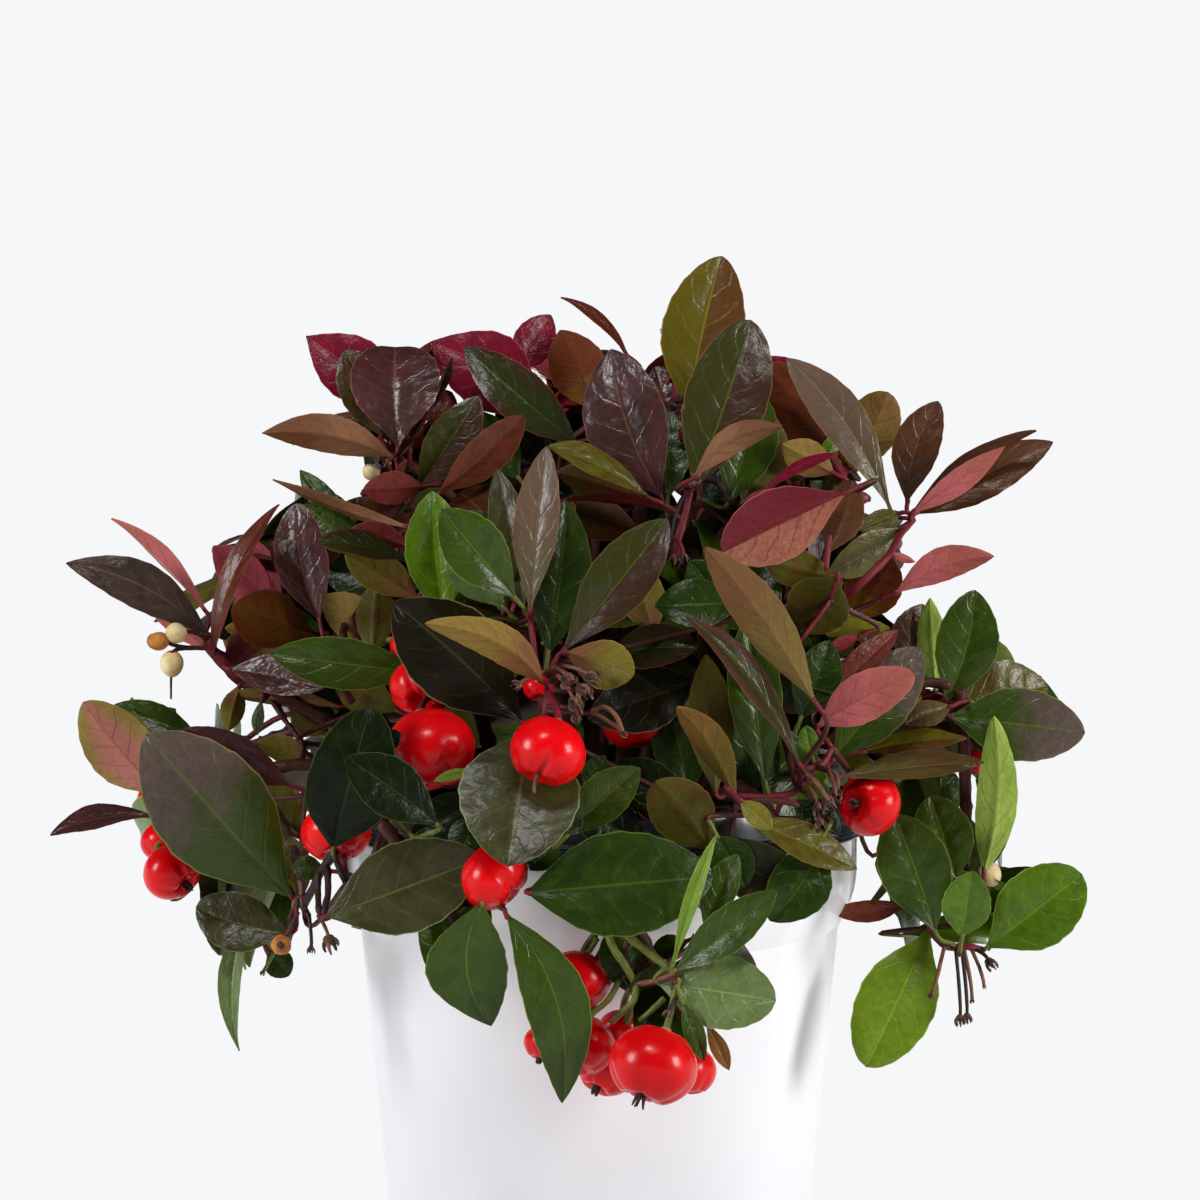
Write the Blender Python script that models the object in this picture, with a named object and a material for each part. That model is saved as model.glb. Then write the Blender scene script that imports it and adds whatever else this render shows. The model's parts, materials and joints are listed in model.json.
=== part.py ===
"""Potted wintergreen: a low evergreen shrub with red berries in a white cache pot.

The plant is a dome of leafy stems that spill over the rim of its pot. It is
built as a cache pot, the dark nursery pot hung in it, the root ball, a short
root crown, tapering stems, and uneven closed masses of foliage.

Metres, +Z up. The origin is the centre of the pot's flat underside. The front
of the plant looks along -Y, and +X is to the right of somebody facing it.
Sizes in the tables below are in millimetres and are scaled by MM.
"""

import math
import random

import bmesh
import bpy
from mathutils import Matrix, Vector
from mathutils.bvhtree import BVHTree

MM = 0.001

# ---- driving dimensions, mm -------------------------------------------------
GAP = 0.3               # between solids that touch
FOOT_R = 39.7           # cache pot: radius of the flat underside
BODY_TOP_R = 47.2       # radius where the tapered body meets the collar
COLLAR_Z = 79.7         # height of the collar's lower edge
COLLAR_R = 47.9         # collar radius at its lower edge
RIM_R = 50.7            # collar radius at the top
FLARE_Z = 89.5          # the collar flares up to here, then stands upright
POT_H = 98.0            # top of the white rim
WALL = 2.4              # cache pot wall
FLOOR = 4.4             # cache pot floor

LIP_R = 53.5            # nursery pot: outer radius of the lip on the rim
LIP_TOP = 107.0         # top of that lip
LIP_WALL = 1.4
NURSERY_TOP_R = 45.3    # outer radius just under the lip
NURSERY_FOOT_R = 34.5
NURSERY_Z = 10.0        # it hangs clear of the cache pot's floor

GROUND = 99.4           # surface of the root ball

CROWN_FOOT_R = 6.2      # root crown: flared foot, waist and top
CROWN_WAIST_R = 4.0
CROWN_TOP_R = 2.8
CROWN_H = 11.0

CHIMNEY_R = 12.0        # open middle of the shrub, where the inner stems rise
CLEAR_Z = LIP_TOP + 1.6 # foliage inside the rim starts above this
CLEAR_R = LIP_R + 1.2   # foliage beside the pot starts outside this

STEM_FOOT_R = 1.7       # radius of a stem where it leaves the ground
STEM_TIP_R = 1.0        # and where it enters its leaves
STEM_SIDES = 6
STEM_RINGS = 5

# ---- masses of foliage ------------------------------------------------------
# name, middle (x, y, z), half sizes (x, y, z), and how far its longest sprays
# reach from the middle (dx, dy, dz). The crown is 203 wide and its top leaf
# stands 210 over the floor.
MASSES = (
    ("crown_top", (16, 4, 183), (17, 20, 20), ((8, 4, 27), (-14, -14, 8), (15, -10, 14))),
    ("crown_top_left", (-17, 8, 178), (16, 19, 16), ((-19, 2, 15), (8, 10, 23))),
    ("crown_upper_left", (-46, 0, 174), (15, 21, 15), ((-20, -6, 2), (-12, 10, 18))),
    ("crown_upper_right", (42, 2, 166), (15, 22, 20), ((-8, -8, 25), (13, 14, 16))),
    ("front_centre", (-12, -40, 147), (24, 20, 24), ((25, -12, 16), (-27, -14, 1), (2, -4, 28))),
    ("left_centre", (-50, -20, 143), (18, 24, 19), ((-6, 6, 22), (-15, -10, 3))),
    ("right_centre", (28, -36, 132), (17, 20, 23), ((-9, -10, 25), (8, -14, -14))),
    ("right_cluster", (70, -12, 126), (19, 22, 16), ((26, -4, -7), (4, 2, 20), (20, 18, 3))),
    ("left_arm_leaves", (-84, -14, 143), (14, 17, 15), ((-20, -2, 10), (-12, 10, 18), (19, 0, 20))),
    ("right_arm_leaves", (70, -4, 163), (12, 16, 15), ((18, -4, 12), (-4, -2, 20), (8, -10, -9))),
    ("front_low", (0, -68, 106), (22, 11, 15), ((22, -7, 1), (-14, -6, -6))),
    ("front_left_low", (-40, -62, 108), (17, 14, 18), ((-11, -8, -18), (-6, -8, 13))),
    ("front_right_low", (36, -60, 100), (13, 11, 14), ((-5, -8, -10), (13, 2, 2))),
    ("left_low", (-80, -22, 103), (22, 24, 21), ((-28, 4, -4), (-21, 4, 21), (-8, -17, 18))),
    ("hanging_left", (-70, -32, 75), (11, 14, 10), ((-1, -3, -18),)),
    ("hanging_front_left", (-17, -64, 74), (15, 8.5, 14), ((9, -5, -19),)),
    ("hanging_front_right", (16, -65, 72), (16, 9.5, 14), ((17, -5, 6), (-6, -5, -17))),
    ("hanging_right", (70, -22, 82), (18, 17, 20), ((-18, -6, -27), (24, -4, 8))),
    ("back_top", (0, 36, 172), (26, 17, 19), ((8, 10, 24), (-22, 8, 12))),
    ("back_left", (-46, 38, 152), (22, 21, 22), ((-20, 14, 14), (-6, 8, 26))),
    ("back_right", (46, 38, 147), (22, 21, 21), ((22, 12, 10), (6, 10, 25))),
    ("back_inner", (2, 40, 130), (24, 17, 17), ((-20, 4, -12), (22, 4, -10))),
    ("back_centre", (0, 66, 136), (24, 17, 19), ((-6, 20, 14), (14, 18, -4))),
    ("back_left_low", (-72, 32, 108), (21, 22, 19), ((-26, 8, 6), (-16, 18, -12))),
    ("back_right_low", (70, 36, 106), (21, 21, 19), ((24, 8, 8), (10, 20, -14))),
    ("back_low", (2, 76, 100), (24, 13, 17), ((-16, 13, 8), (12, 14, -14))),
    ("hanging_back", (-34, 70, 78), (15, 11, 14), ((-6, 8, -18),)),
)
SEGMENTS, RINGS = 16, 9         # facets round and along a mass
LOBE_SPREAD = 0.36              # how wide a spray's bulge is, radians
HOLLOWS = 0.16                  # how deep the dips between sprays are
HEART = (0, 0, 134)             # the masses fill the crown towards this point
FILL = 0.80                     # by this share of their size
APART = {                       # wider gaps where a bare stem shows
    ("left_centre", "left_arm_leaves"): 7.0,
    ("left_low", "left_arm_leaves"): 9.0,
    ("left_low", "left_centre"): 8.0,
    ("crown_upper_right", "right_arm_leaves"): 6.0,
    ("crown_upper_right", "right_cluster"): 7.0,
    ("crown_upper_right", "right_centre"): 7.0,
    ("right_centre", "right_cluster"): 6.0,
    ("right_cluster", "right_arm_leaves"): 4.0,
    ("right_cluster", "hanging_right"): 4.0,
    ("front_low", "hanging_front_right"): 3.0,
    ("front_left_low", "hanging_front_left"): 3.0,
    ("back_low", "hanging_back"): 3.0,
}
BETWEEN = 0.6                   # every other pair of masses

# ---- stems ------------------------------------------------------------------
# Basal stems: name, where it leaves the ground (bearing in degrees from +X,
# distance from the middle), the mass it carries, how high it rises first, and
# the side from which it comes up to the middle of that mass (dx, dy, dz).
STEMS = (
    ("stem_top", 60, 9.4, "crown_top", 60),
    ("stem_top_left", 140, 9.4, "crown_top_left", 58),
    ("stem_upper_left", 188, 9.4, "crown_upper_left", 50),
    ("stem_upper_right", 10, 9.4, "crown_upper_right", 48),
    ("stem_back_top", 100, 9.4, "back_top", 52),
    ("stem_front", 258, 15.0, "front_centre", 10),
    ("stem_left", 205, 24.0, "left_centre", 8),
    ("stem_right", 305, 20.0, "right_centre", 4),
    ("stem_back_left", 140, 26.0, "back_left", 10),
    ("stem_back_right", 40, 26.0, "back_right", 10),
    ("stem_back", 90, 28.0, "back_inner", 4),
    ("stem_left_low", 203, 38.0, "left_low", 14),
    ("stem_right_low", 342, 37.0, "right_cluster", 12),
    ("stem_front_left_low", 238, 37.0, "front_left_low", 14),
    ("stem_front_right_low", 300, 37.0, "front_right_low", 14),
    ("stem_back_left_low", 156, 37.0, "back_left_low", 14),
    ("stem_back_right_low", 26, 37.0, "back_right_low", 14),
    ("left_arm_stem", 182, 34.0, "left_arm_leaves", 17, (18, -4, -21)),
    ("right_arm_stem", 340, 30.0, "right_arm_leaves", 26, (-22, -8, -22)),
)
# Arms: stems that leave one mass and show in a gap before the next one:
# name, mass it leaves, mass it enters, how far its middle bows (x, y, z).
ARMS = (
    ("drooping_stem_right", "right_cluster", "hanging_right", (1, -1, 0)),
    ("drooping_stem_front", "front_low", "hanging_front_right", (-1, -1, 0)),
    ("drooping_stem_front_left", "front_left_low", "hanging_front_left", (2, -1, 0)),
)

LEAF_GREEN = (0.045, 0.085, 0.022)
LEAF_BRONZE = (0.080, 0.032, 0.024)
LEAF_OLIVE = (0.070, 0.080, 0.024)


def clear_scene():
    for obj in list(bpy.data.objects):
        bpy.data.objects.remove(obj, do_unlink=True)


def material(name, colour, roughness, metallic=0.0):
    mat = bpy.data.materials.new(name)
    mat.use_nodes = True
    shader = mat.node_tree.nodes["Principled BSDF"]
    shader.inputs["Base Color"].default_value = (*colour, 1.0)
    shader.inputs["Roughness"].default_value = roughness
    shader.inputs["Metallic"].default_value = metallic
    mat.diffuse_color = (*colour, 1.0)
    return mat


def add(name, bm, mat, smooth=True, crease=math.radians(35)):
    """Make the object of one node from a bmesh that is still in millimetres."""
    bmesh.ops.scale(bm, vec=(MM, MM, MM), verts=bm.verts)
    bmesh.ops.recalc_face_normals(bm, faces=bm.faces)
    mesh = bpy.data.meshes.new(name)
    bm.to_mesh(mesh)
    bm.free()
    mesh.materials.append(mat)
    obj = bpy.data.objects.new(name, mesh)
    bpy.context.scene.collection.objects.link(obj)
    if smooth:
        mesh.shade_smooth()
        mesh.set_sharp_from_angle(angle=crease)
    obj.parent = ROOT
    return obj


def turned(profile, steps):
    """Spin a profile of (radius, height) pairs that starts and ends on the axis."""
    bm = bmesh.new()
    verts = [bm.verts.new((r, 0.0, z)) for r, z in profile]
    edges = [bm.edges.new(pair) for pair in zip(verts, verts[1:])]
    bmesh.ops.spin(bm, geom=verts + edges, cent=(0, 0, 0), axis=(0, 0, 1),
                   angle=math.tau, steps=steps, use_duplicate=False)
    bmesh.ops.remove_doubles(bm, verts=bm.verts, dist=0.01)
    return bm


def cache_pot():
    slope = (BODY_TOP_R - FOOT_R) / COLLAR_Z
    inner_foot = FOOT_R + slope * FLOOR - WALL
    profile = (
        (0.0, 0.0), (FOOT_R - 0.9, 0.0), (FOOT_R, 0.9),
        (BODY_TOP_R, COLLAR_Z - 0.1), (COLLAR_R, COLLAR_Z + 0.2),
        (RIM_R, FLARE_Z), (RIM_R, POT_H - 1.1), (RIM_R - 0.9, POT_H),
        (RIM_R - WALL + 0.5, POT_H), (RIM_R - WALL, POT_H - 0.9),
        (RIM_R - WALL, FLARE_Z + 0.6), (BODY_TOP_R - WALL, COLLAR_Z),
        (inner_foot, FLOOR), (0.0, FLOOR),
    )
    return turned(profile, 40)


def nursery_pot():
    under = POT_H + GAP
    profile = (
        (0.0, NURSERY_Z), (NURSERY_FOOT_R, NURSERY_Z),
        (NURSERY_TOP_R, under - 1.0), (NURSERY_TOP_R + 1.0, under),
        (LIP_R - 0.3, under), (LIP_R, under + 0.5), (LIP_R, LIP_TOP - 0.6),
        (LIP_R - 0.5, LIP_TOP), (LIP_R - LIP_WALL, LIP_TOP),
        (LIP_R - LIP_WALL - 0.2, under + 1.6), (NURSERY_TOP_R - 0.6, under + 1.5),
        (NURSERY_FOOT_R - 1.1, NURSERY_Z + 1.4), (0.0, NURSERY_Z + 1.4),
    )
    return turned(profile, 32)


def root_ball():
    slope = (NURSERY_TOP_R - NURSERY_FOOT_R) / (POT_H - 0.7 - NURSERY_Z)
    foot_z = NURSERY_Z + 1.4 + GAP
    inner = NURSERY_FOOT_R - 1.1 - 0.7
    top = inner + slope * (GROUND - foot_z) - 0.3
    profile = ((0.0, foot_z), (inner, foot_z), (top, GROUND - 2.0),
               (top - 1.5, GROUND), (0.0, GROUND))
    return turned(profile, 28)


def root_crown():
    """Short woody base: a flared foot cut flat at ground level, then a taper."""
    foot = GROUND + GAP
    profile = [(0.0, foot)]
    for step in range(6):
        t = step / 5
        flare = (CROWN_FOOT_R - CROWN_WAIST_R) * (1 - t) ** 3
        taper = CROWN_WAIST_R + (CROWN_TOP_R - CROWN_WAIST_R) * t
        profile.append((taper + flare, foot + CROWN_H * t))
    profile += [(CROWN_TOP_R * 0.6, foot + CROWN_H + 1.0), (0.0, foot + CROWN_H + 1.2)]
    bm = turned(profile, 18)
    for v in bm.verts:      # root buttresses round the foot
        turn = math.atan2(v.co.y, v.co.x)
        near = max(0.0, 1.0 - (v.co.z - foot) / CROWN_H)
        grow = 1.0 + 0.16 * near * near * math.cos(5 * turn + 0.6)
        v.co.x *= grow
        v.co.y *= grow
    return bm


def half_reach(size, way):
    """Distance from the middle of an ellipsoid to its skin, along a unit vector."""
    return 1.0 / math.sqrt(sum((way[k] / size[k]) ** 2 for k in range(3)))


def cell(index):
    """Planes (normal, distance from the middle) that keep a mass to itself."""
    name, at, size, _ = MASSES[index]
    at = Vector(at)
    planes = []
    for other, (o_name, o_at, o_size, _r) in enumerate(MASSES):
        if other == index:
            continue
        span = Vector(o_at) - at
        far = span.length
        way = span / far
        mine, theirs = half_reach(size, way), half_reach(o_size, way)
        gap = APART.get((name, o_name), APART.get((o_name, name), BETWEEN))
        planes.append((way, far * mine / (mine + theirs) - gap / 2))
    out = Vector((at.x, at.y, 0.0))
    if out.length > 56.0:                   # beside the pot
        planes.append((-out.normalized(), out.length - CLEAR_R))
    else:                                   # over the pot
        planes.append((Vector((0, 0, -1)), at.z - CLEAR_Z))
        if out.length > CHIMNEY_R + 8.0:    # and round the open middle
            planes.append((-out.normalized(), out.length - CHIMNEY_R))
    if name in ("crown_top", "crown_top_left", "back_top"):
        planes.append((Vector((0, 0, -1)), at.z - 163.0))
    return planes


def foliage(index):
    """One uneven, closed mass: an ellipsoid with a bulge for each spray."""
    name, at, size, reach = MASSES[index]
    rng = random.Random(1000 + 17 * index)
    at = Vector(at)
    bm = bmesh.new()
    bmesh.ops.create_uvsphere(bm, u_segments=SEGMENTS, v_segments=RINGS, radius=1.0)
    turn = Matrix.Rotation(rng.uniform(0, math.tau), 4, "Z") @ Matrix.Rotation(rng.uniform(-0.5, 0.5), 4, "X")
    bmesh.ops.transform(bm, matrix=turn, verts=bm.verts)
    bm.verts.ensure_lookup_table()

    lobes = []
    for tip in reach:                        # the named sprays
        tip = Vector(tip)
        way = tip.normalized()
        lobes.append((way, tip.length / half_reach(size, way) - 1.0, LOBE_SPREAD))
        nearest = min(bm.verts, key=lambda v: (v.co - way).length)
        nearest.co = way                     # a facet corner sits on each tip
    for _ in range(9):                       # and the smaller ones between
        way = Vector((rng.gauss(0, 1), rng.gauss(0, 1), rng.gauss(0, 1) + 0.2)).normalized()
        if all(way.dot(other[0]) < 0.8 for other in lobes):
            lobes.append((way, rng.uniform(0.10, 0.24), rng.uniform(0.24, 0.40)))

    phase = [rng.uniform(0, math.tau) for _ in range(3)]
    planes = cell(index)
    inward = (Vector(HEART) - at).normalized()
    for v in bm.verts:
        way = v.co.normalized()
        grow = 1.0 - HOLLOWS * 0.5 * (1 + math.sin(5.1 * way.x + phase[0]) * math.sin(4.3 * way.y + phase[1])
                                      * math.cos(4.7 * way.z + phase[2]))
        swell = 0.0
        for axis, height, spread in lobes:
            angle = math.acos(max(-1.0, min(1.0, axis.dot(way))))
            swell = max(swell, (height + 1.0 - grow) * math.exp(-((angle / spread) ** 2)))
        fill = 1.0 + FILL * max(0.0, inward.dot(way))
        far = half_reach(size, way) * (grow + swell) * fill
        for normal, limit in planes:
            lean = normal.dot(way)
            if lean > 1e-6:
                far = min(far, limit / lean)
        v.co = at + way * far
    return bm


def curve_points(a, b, c, d, count):
    """Points on a cubic from a to d, drawn towards b and c."""
    points = []
    for k in range(count):
        t = k / (count - 1)
        s = 1 - t
        points.append(a * s ** 3 + b * 3 * s * s * t + c * 3 * s * t * t + d * t ** 3)
    return points


def frame_rings(points, radii, flat_start):
    """Rings of corners square to a path, turned as little as possible."""
    rings = []
    side = None
    for k, p in enumerate(points):
        ahead = (points[min(k + 1, len(points) - 1)] - points[max(k - 1, 0)]).normalized()
        if k == 0 and flat_start:
            ahead = Vector((0, 0, 1))
        if side is None:
            side = ahead.orthogonal().normalized()
        side = (side - ahead * side.dot(ahead)).normalized()
        across = ahead.cross(side)
        rings.append([p + (side * math.cos(t) + across * math.sin(t)) * radii[k]
                      for t in (math.tau * n / STEM_SIDES for n in range(STEM_SIDES))])
    return rings


def clear_of(ring, trees):
    """True if a ring of corners is outside every mass, with a gap to it."""
    for tree in trees:
        for corner in ring:
            near, normal, _i, dist = tree.find_nearest(corner)
            if near is None:
                continue
            if dist < GAP + 0.1 or (dist < 30 and (corner - near).dot(normal) < 0):
                return False
    return True


def limb(points, radii, trees, flat_start):
    """One tapering limb along the free part of a path, closed at both ends."""
    rings = frame_rings(points, radii, flat_start)
    free = [clear_of(ring, trees) for ring in rings]
    best, start = (0, 0), None
    for k, ok in enumerate(free + [False]):
        if ok and start is None:
            start = k
        if not ok and start is not None:
            if k - start > best[1] - best[0]:
                best = (start, k)
            start = None
    first, last = best
    keep = list(range(first, last))
    if len(keep) > STEM_RINGS:              # an even choice of them
        last_ring = STEM_RINGS - 1
        keep = [keep[round(n * (len(keep) - 1) / last_ring)] for n in range(STEM_RINGS)]
    bm = bmesh.new()
    loops = [[bm.verts.new(corner) for corner in rings[k]] for k in keep]
    for low, high in zip(loops, loops[1:]):
        for n in range(STEM_SIDES):
            m = (n + 1) % STEM_SIDES
            bm.faces.new((low[n], low[m], high[m], high[n]))
    bm.faces.new(list(reversed(loops[0])))
    bm.faces.new(loops[-1])
    return bm


clear_scene()
ROOT = bpy.data.objects.new("potted_wintergreen", None)
bpy.context.scene.collection.objects.link(ROOT)

add("white_pot", cache_pot(), material("pot_white", (0.85, 0.85, 0.87), 0.18), crease=math.radians(28))
add("nursery_pot", nursery_pot(), material("nursery_dark", (0.016, 0.019, 0.026), 0.25), crease=math.radians(28))
add("root_ball", root_ball(), material("peat", (0.035, 0.020, 0.012), 0.95), crease=math.radians(40))
add("root_crown", root_crown(), material("woody_base", (0.13, 0.045, 0.03), 0.75))

TREES = {}
for index, row in enumerate(MASSES):
    solid = foliage(index)
    TREES[row[0]] = BVHTree.FromBMesh(solid)
    z = row[1][2]
    tint = LEAF_BRONZE if z > 158 else LEAF_OLIVE if z > 128 else LEAF_GREEN
    add(row[0], solid, material("leaves_" + row[0], tint, 0.45), crease=math.radians(60))

WHERE = {row[0]: Vector(row[1]) for row in MASSES}
for name, bearing, distance, target, rise, *approach in STEMS:
    turn = math.radians(bearing)
    foot = Vector((distance * math.cos(turn), distance * math.sin(turn), GROUND + GAP))
    goal = WHERE[target]
    lift = foot + Vector((0, 0, rise))
    out = Vector((goal.x, goal.y, 0.0))
    if approach:
        bend = goal + Vector(approach[0])
    elif out.length > 56.0:                 # over the lip, then down to its leaves
        bend = goal - out.normalized() * 12.0
        bend.z = max(goal.z + 8.0, LIP_TOP + 11.0)
    else:
        bend = (lift + goal) / 2 + Vector((0, 0, 4))
    path = curve_points(foot, lift, bend, goal, 80)
    radii = [STEM_FOOT_R + (STEM_TIP_R - STEM_FOOT_R) * k / 79 for k in range(80)]
    add(name, limb(path, radii, TREES.values(), True), material("bark_" + name, (0.22, 0.045, 0.035), 0.6))

for name, source, target, bow in ARMS:
    a, d = WHERE[source], WHERE[target]
    path = curve_points(a, a.lerp(d, 0.33) + Vector(bow), a.lerp(d, 0.67) + Vector(bow), d, 80)
    radii = [STEM_FOOT_R - 0.3 + (STEM_TIP_R - STEM_FOOT_R + 0.3) * k / 79 for k in range(80)]
    add(name, limb(path, radii, TREES.values(), False), material("bark_" + name, (0.30, 0.04, 0.05), 0.55))
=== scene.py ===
"""Looks of the potted wintergreen: leaves, twigs, berries, buds, pots and light.

Sizes in the tables are millimetres in the frame of the CAD. The sprays that
face the camera are placed by where they appear (pixels of a 1200 x 1200 frame)
and by their depth; each still hangs on a twig that grows from a stem. The rest
of the crown grows by a seeded rule.
"""

import json
import math

import bpy
import numpy as np
from mathutils import Matrix, Vector

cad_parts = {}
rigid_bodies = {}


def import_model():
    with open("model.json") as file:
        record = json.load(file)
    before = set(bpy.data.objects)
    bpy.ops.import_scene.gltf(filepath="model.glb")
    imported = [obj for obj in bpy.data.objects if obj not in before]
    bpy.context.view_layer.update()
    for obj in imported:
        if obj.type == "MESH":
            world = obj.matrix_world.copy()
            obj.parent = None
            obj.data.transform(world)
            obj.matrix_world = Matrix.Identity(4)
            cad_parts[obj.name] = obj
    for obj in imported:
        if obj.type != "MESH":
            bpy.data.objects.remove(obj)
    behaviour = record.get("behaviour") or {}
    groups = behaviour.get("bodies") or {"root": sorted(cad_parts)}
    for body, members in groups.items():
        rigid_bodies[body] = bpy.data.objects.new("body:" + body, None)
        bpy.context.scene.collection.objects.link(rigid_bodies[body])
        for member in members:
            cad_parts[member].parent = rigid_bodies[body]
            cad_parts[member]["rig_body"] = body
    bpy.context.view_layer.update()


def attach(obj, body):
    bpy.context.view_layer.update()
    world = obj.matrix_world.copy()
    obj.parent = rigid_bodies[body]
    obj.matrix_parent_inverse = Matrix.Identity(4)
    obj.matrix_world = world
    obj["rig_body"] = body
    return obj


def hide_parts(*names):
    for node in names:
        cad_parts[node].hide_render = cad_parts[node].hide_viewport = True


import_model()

MM = 0.001
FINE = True
rng = np.random.default_rng(20817)


def V(*a):
    return np.array(a, float)


def unit(a):
    n = np.linalg.norm(a)
    return a / n if n > 1e-12 else V(0, 0, 1)


def smooth(x, a, b):
    t = np.clip((x - a) / (b - a), 0, 1)
    return t * t * (3 - 2 * t)


# ---- camera ------------------------------------------------------------------
FOCAL, FAR, PITCH, AIM_Z, MID_X = 4590.0, 900.0, math.radians(6.0), 142.6, 599.5
SN, CS = math.sin(PITCH), math.cos(PITCH)
EYE = V(0.0, -FAR * CS, AIM_Z + FAR * SN)


def at(px, py, y):
    """The point at depth y (mm) that appears at a pixel of the 1200-pixel frame."""
    u, v = (px - MID_X) / FOCAL, (600 - py) / FOCAL
    dy, dz = CS + v * SN, -SN + v * CS
    t = (y - EYE[1]) / dy
    return V(t * u, y, EYE[2] + t * dz)


def seen(p):
    """Pixels of points, (n, 3) in mm to (n, 2)."""
    r = p - EYE
    depth = r[:, 1] * CS - r[:, 2] * SN
    up = r[:, 1] * SN + r[:, 2] * CS
    return np.stack([MID_X + FOCAL * r[:, 0] / depth, 600 - FOCAL * up / depth], 1)


def add_camera():
    data = bpy.data.cameras.new("Camera")
    cam = bpy.data.objects.new("Camera", data)
    bpy.context.scene.collection.objects.link(cam)
    m = Matrix(((1, 0, 0), (0, SN, -CS), (0, CS, SN))).to_4x4()
    m.translation = Vector(EYE * MM)
    cam.matrix_world = m
    data.sensor_width = 36
    data.lens = FOCAL / 1200 * 36
    data.shift_x = (600 - MID_X) / 1200
    data.clip_start, data.clip_end = 0.01, 50
    bpy.context.scene.camera = cam


# ---- materials ---------------------------------------------------------------
def lin(rgb):
    """sRGB 0-255 to linear."""
    out = []
    for c in rgb:
        c /= 255
        out.append(c / 12.92 if c <= 0.04045 else ((c + 0.055) / 1.055) ** 2.4)
    return (*out, 1.0)


class Nodes:
    """Small helper that strings shader nodes together."""

    def __init__(self, name):
        self.mat = bpy.data.materials.new(name)
        self.mat.use_nodes = True
        self.tree = self.mat.node_tree
        self.shader = self.tree.nodes["Principled BSDF"]

    def node(self, kind, **props):
        n = self.tree.nodes.new(kind)
        for k, v in props.items():
            setattr(n, k, v)
        return n

    def put(self, socket, value):
        if isinstance(value, bpy.types.NodeSocket):
            self.tree.links.new(value, socket)
        else:
            socket.default_value = value

    def math(self, op, a, b=None, c=None, clamp=False):
        n = self.node("ShaderNodeMath", operation=op, use_clamp=clamp)
        for i, x in enumerate((a, b, c)):
            if x is not None:
                self.put(n.inputs[i], x)
        return n.outputs[0]

    def ramp(self, x, a, b):
        """Smooth step of x from a (0) to b (1); a may be above b."""
        n = self.node("ShaderNodeMapRange", interpolation_type="SMOOTHSTEP", clamp=True)
        self.put(n.inputs[0], x)
        lo, hi = (a, b) if a < b else (b, a)
        n.inputs[1].default_value, n.inputs[2].default_value = lo, hi
        n.inputs[3].default_value, n.inputs[4].default_value = (0, 1) if a < b else (1, 0)
        return n.outputs[0]

    def mix(self, f, a, b):
        n = self.node("ShaderNodeMix", data_type="RGBA")
        self.put(n.inputs[0], f)
        self.put(n.inputs[6], a)
        self.put(n.inputs[7], b)
        return n.outputs[2]

    def noise(self, vector, scale, detail=2.0, rough=0.5):
        n = self.node("ShaderNodeTexNoise")
        if vector is not None:
            self.put(n.inputs["Vector"], vector)
        n.inputs["Scale"].default_value = scale
        n.inputs["Detail"].default_value = detail
        n.inputs["Roughness"].default_value = rough
        return n.outputs["Fac"]

    def bump(self, height, strength, distance, below=None):
        n = self.node("ShaderNodeBump")
        n.inputs["Strength"].default_value = strength
        n.inputs["Distance"].default_value = distance
        self.put(n.inputs["Height"], height)
        if below is not None:
            self.put(n.inputs["Normal"], below)
        return n.outputs[0]

    def finish(self, colour=None, rough=0.5, normal=None, **sockets):
        if colour is not None:
            self.put(self.shader.inputs["Base Color"], colour)
        self.put(self.shader.inputs["Roughness"], rough)
        if normal is not None:
            self.put(self.shader.inputs["Normal"], normal)
        for k, v in sockets.items():
            self.put(self.shader.inputs[k.replace("_", " ")], v)
        return self.mat


TILES = 8      # leaf tints lie in an 8 x 8 grid of tiles, one for each side of a leaf
PAD_U, PAD_V = 0.05, 0.04

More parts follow.
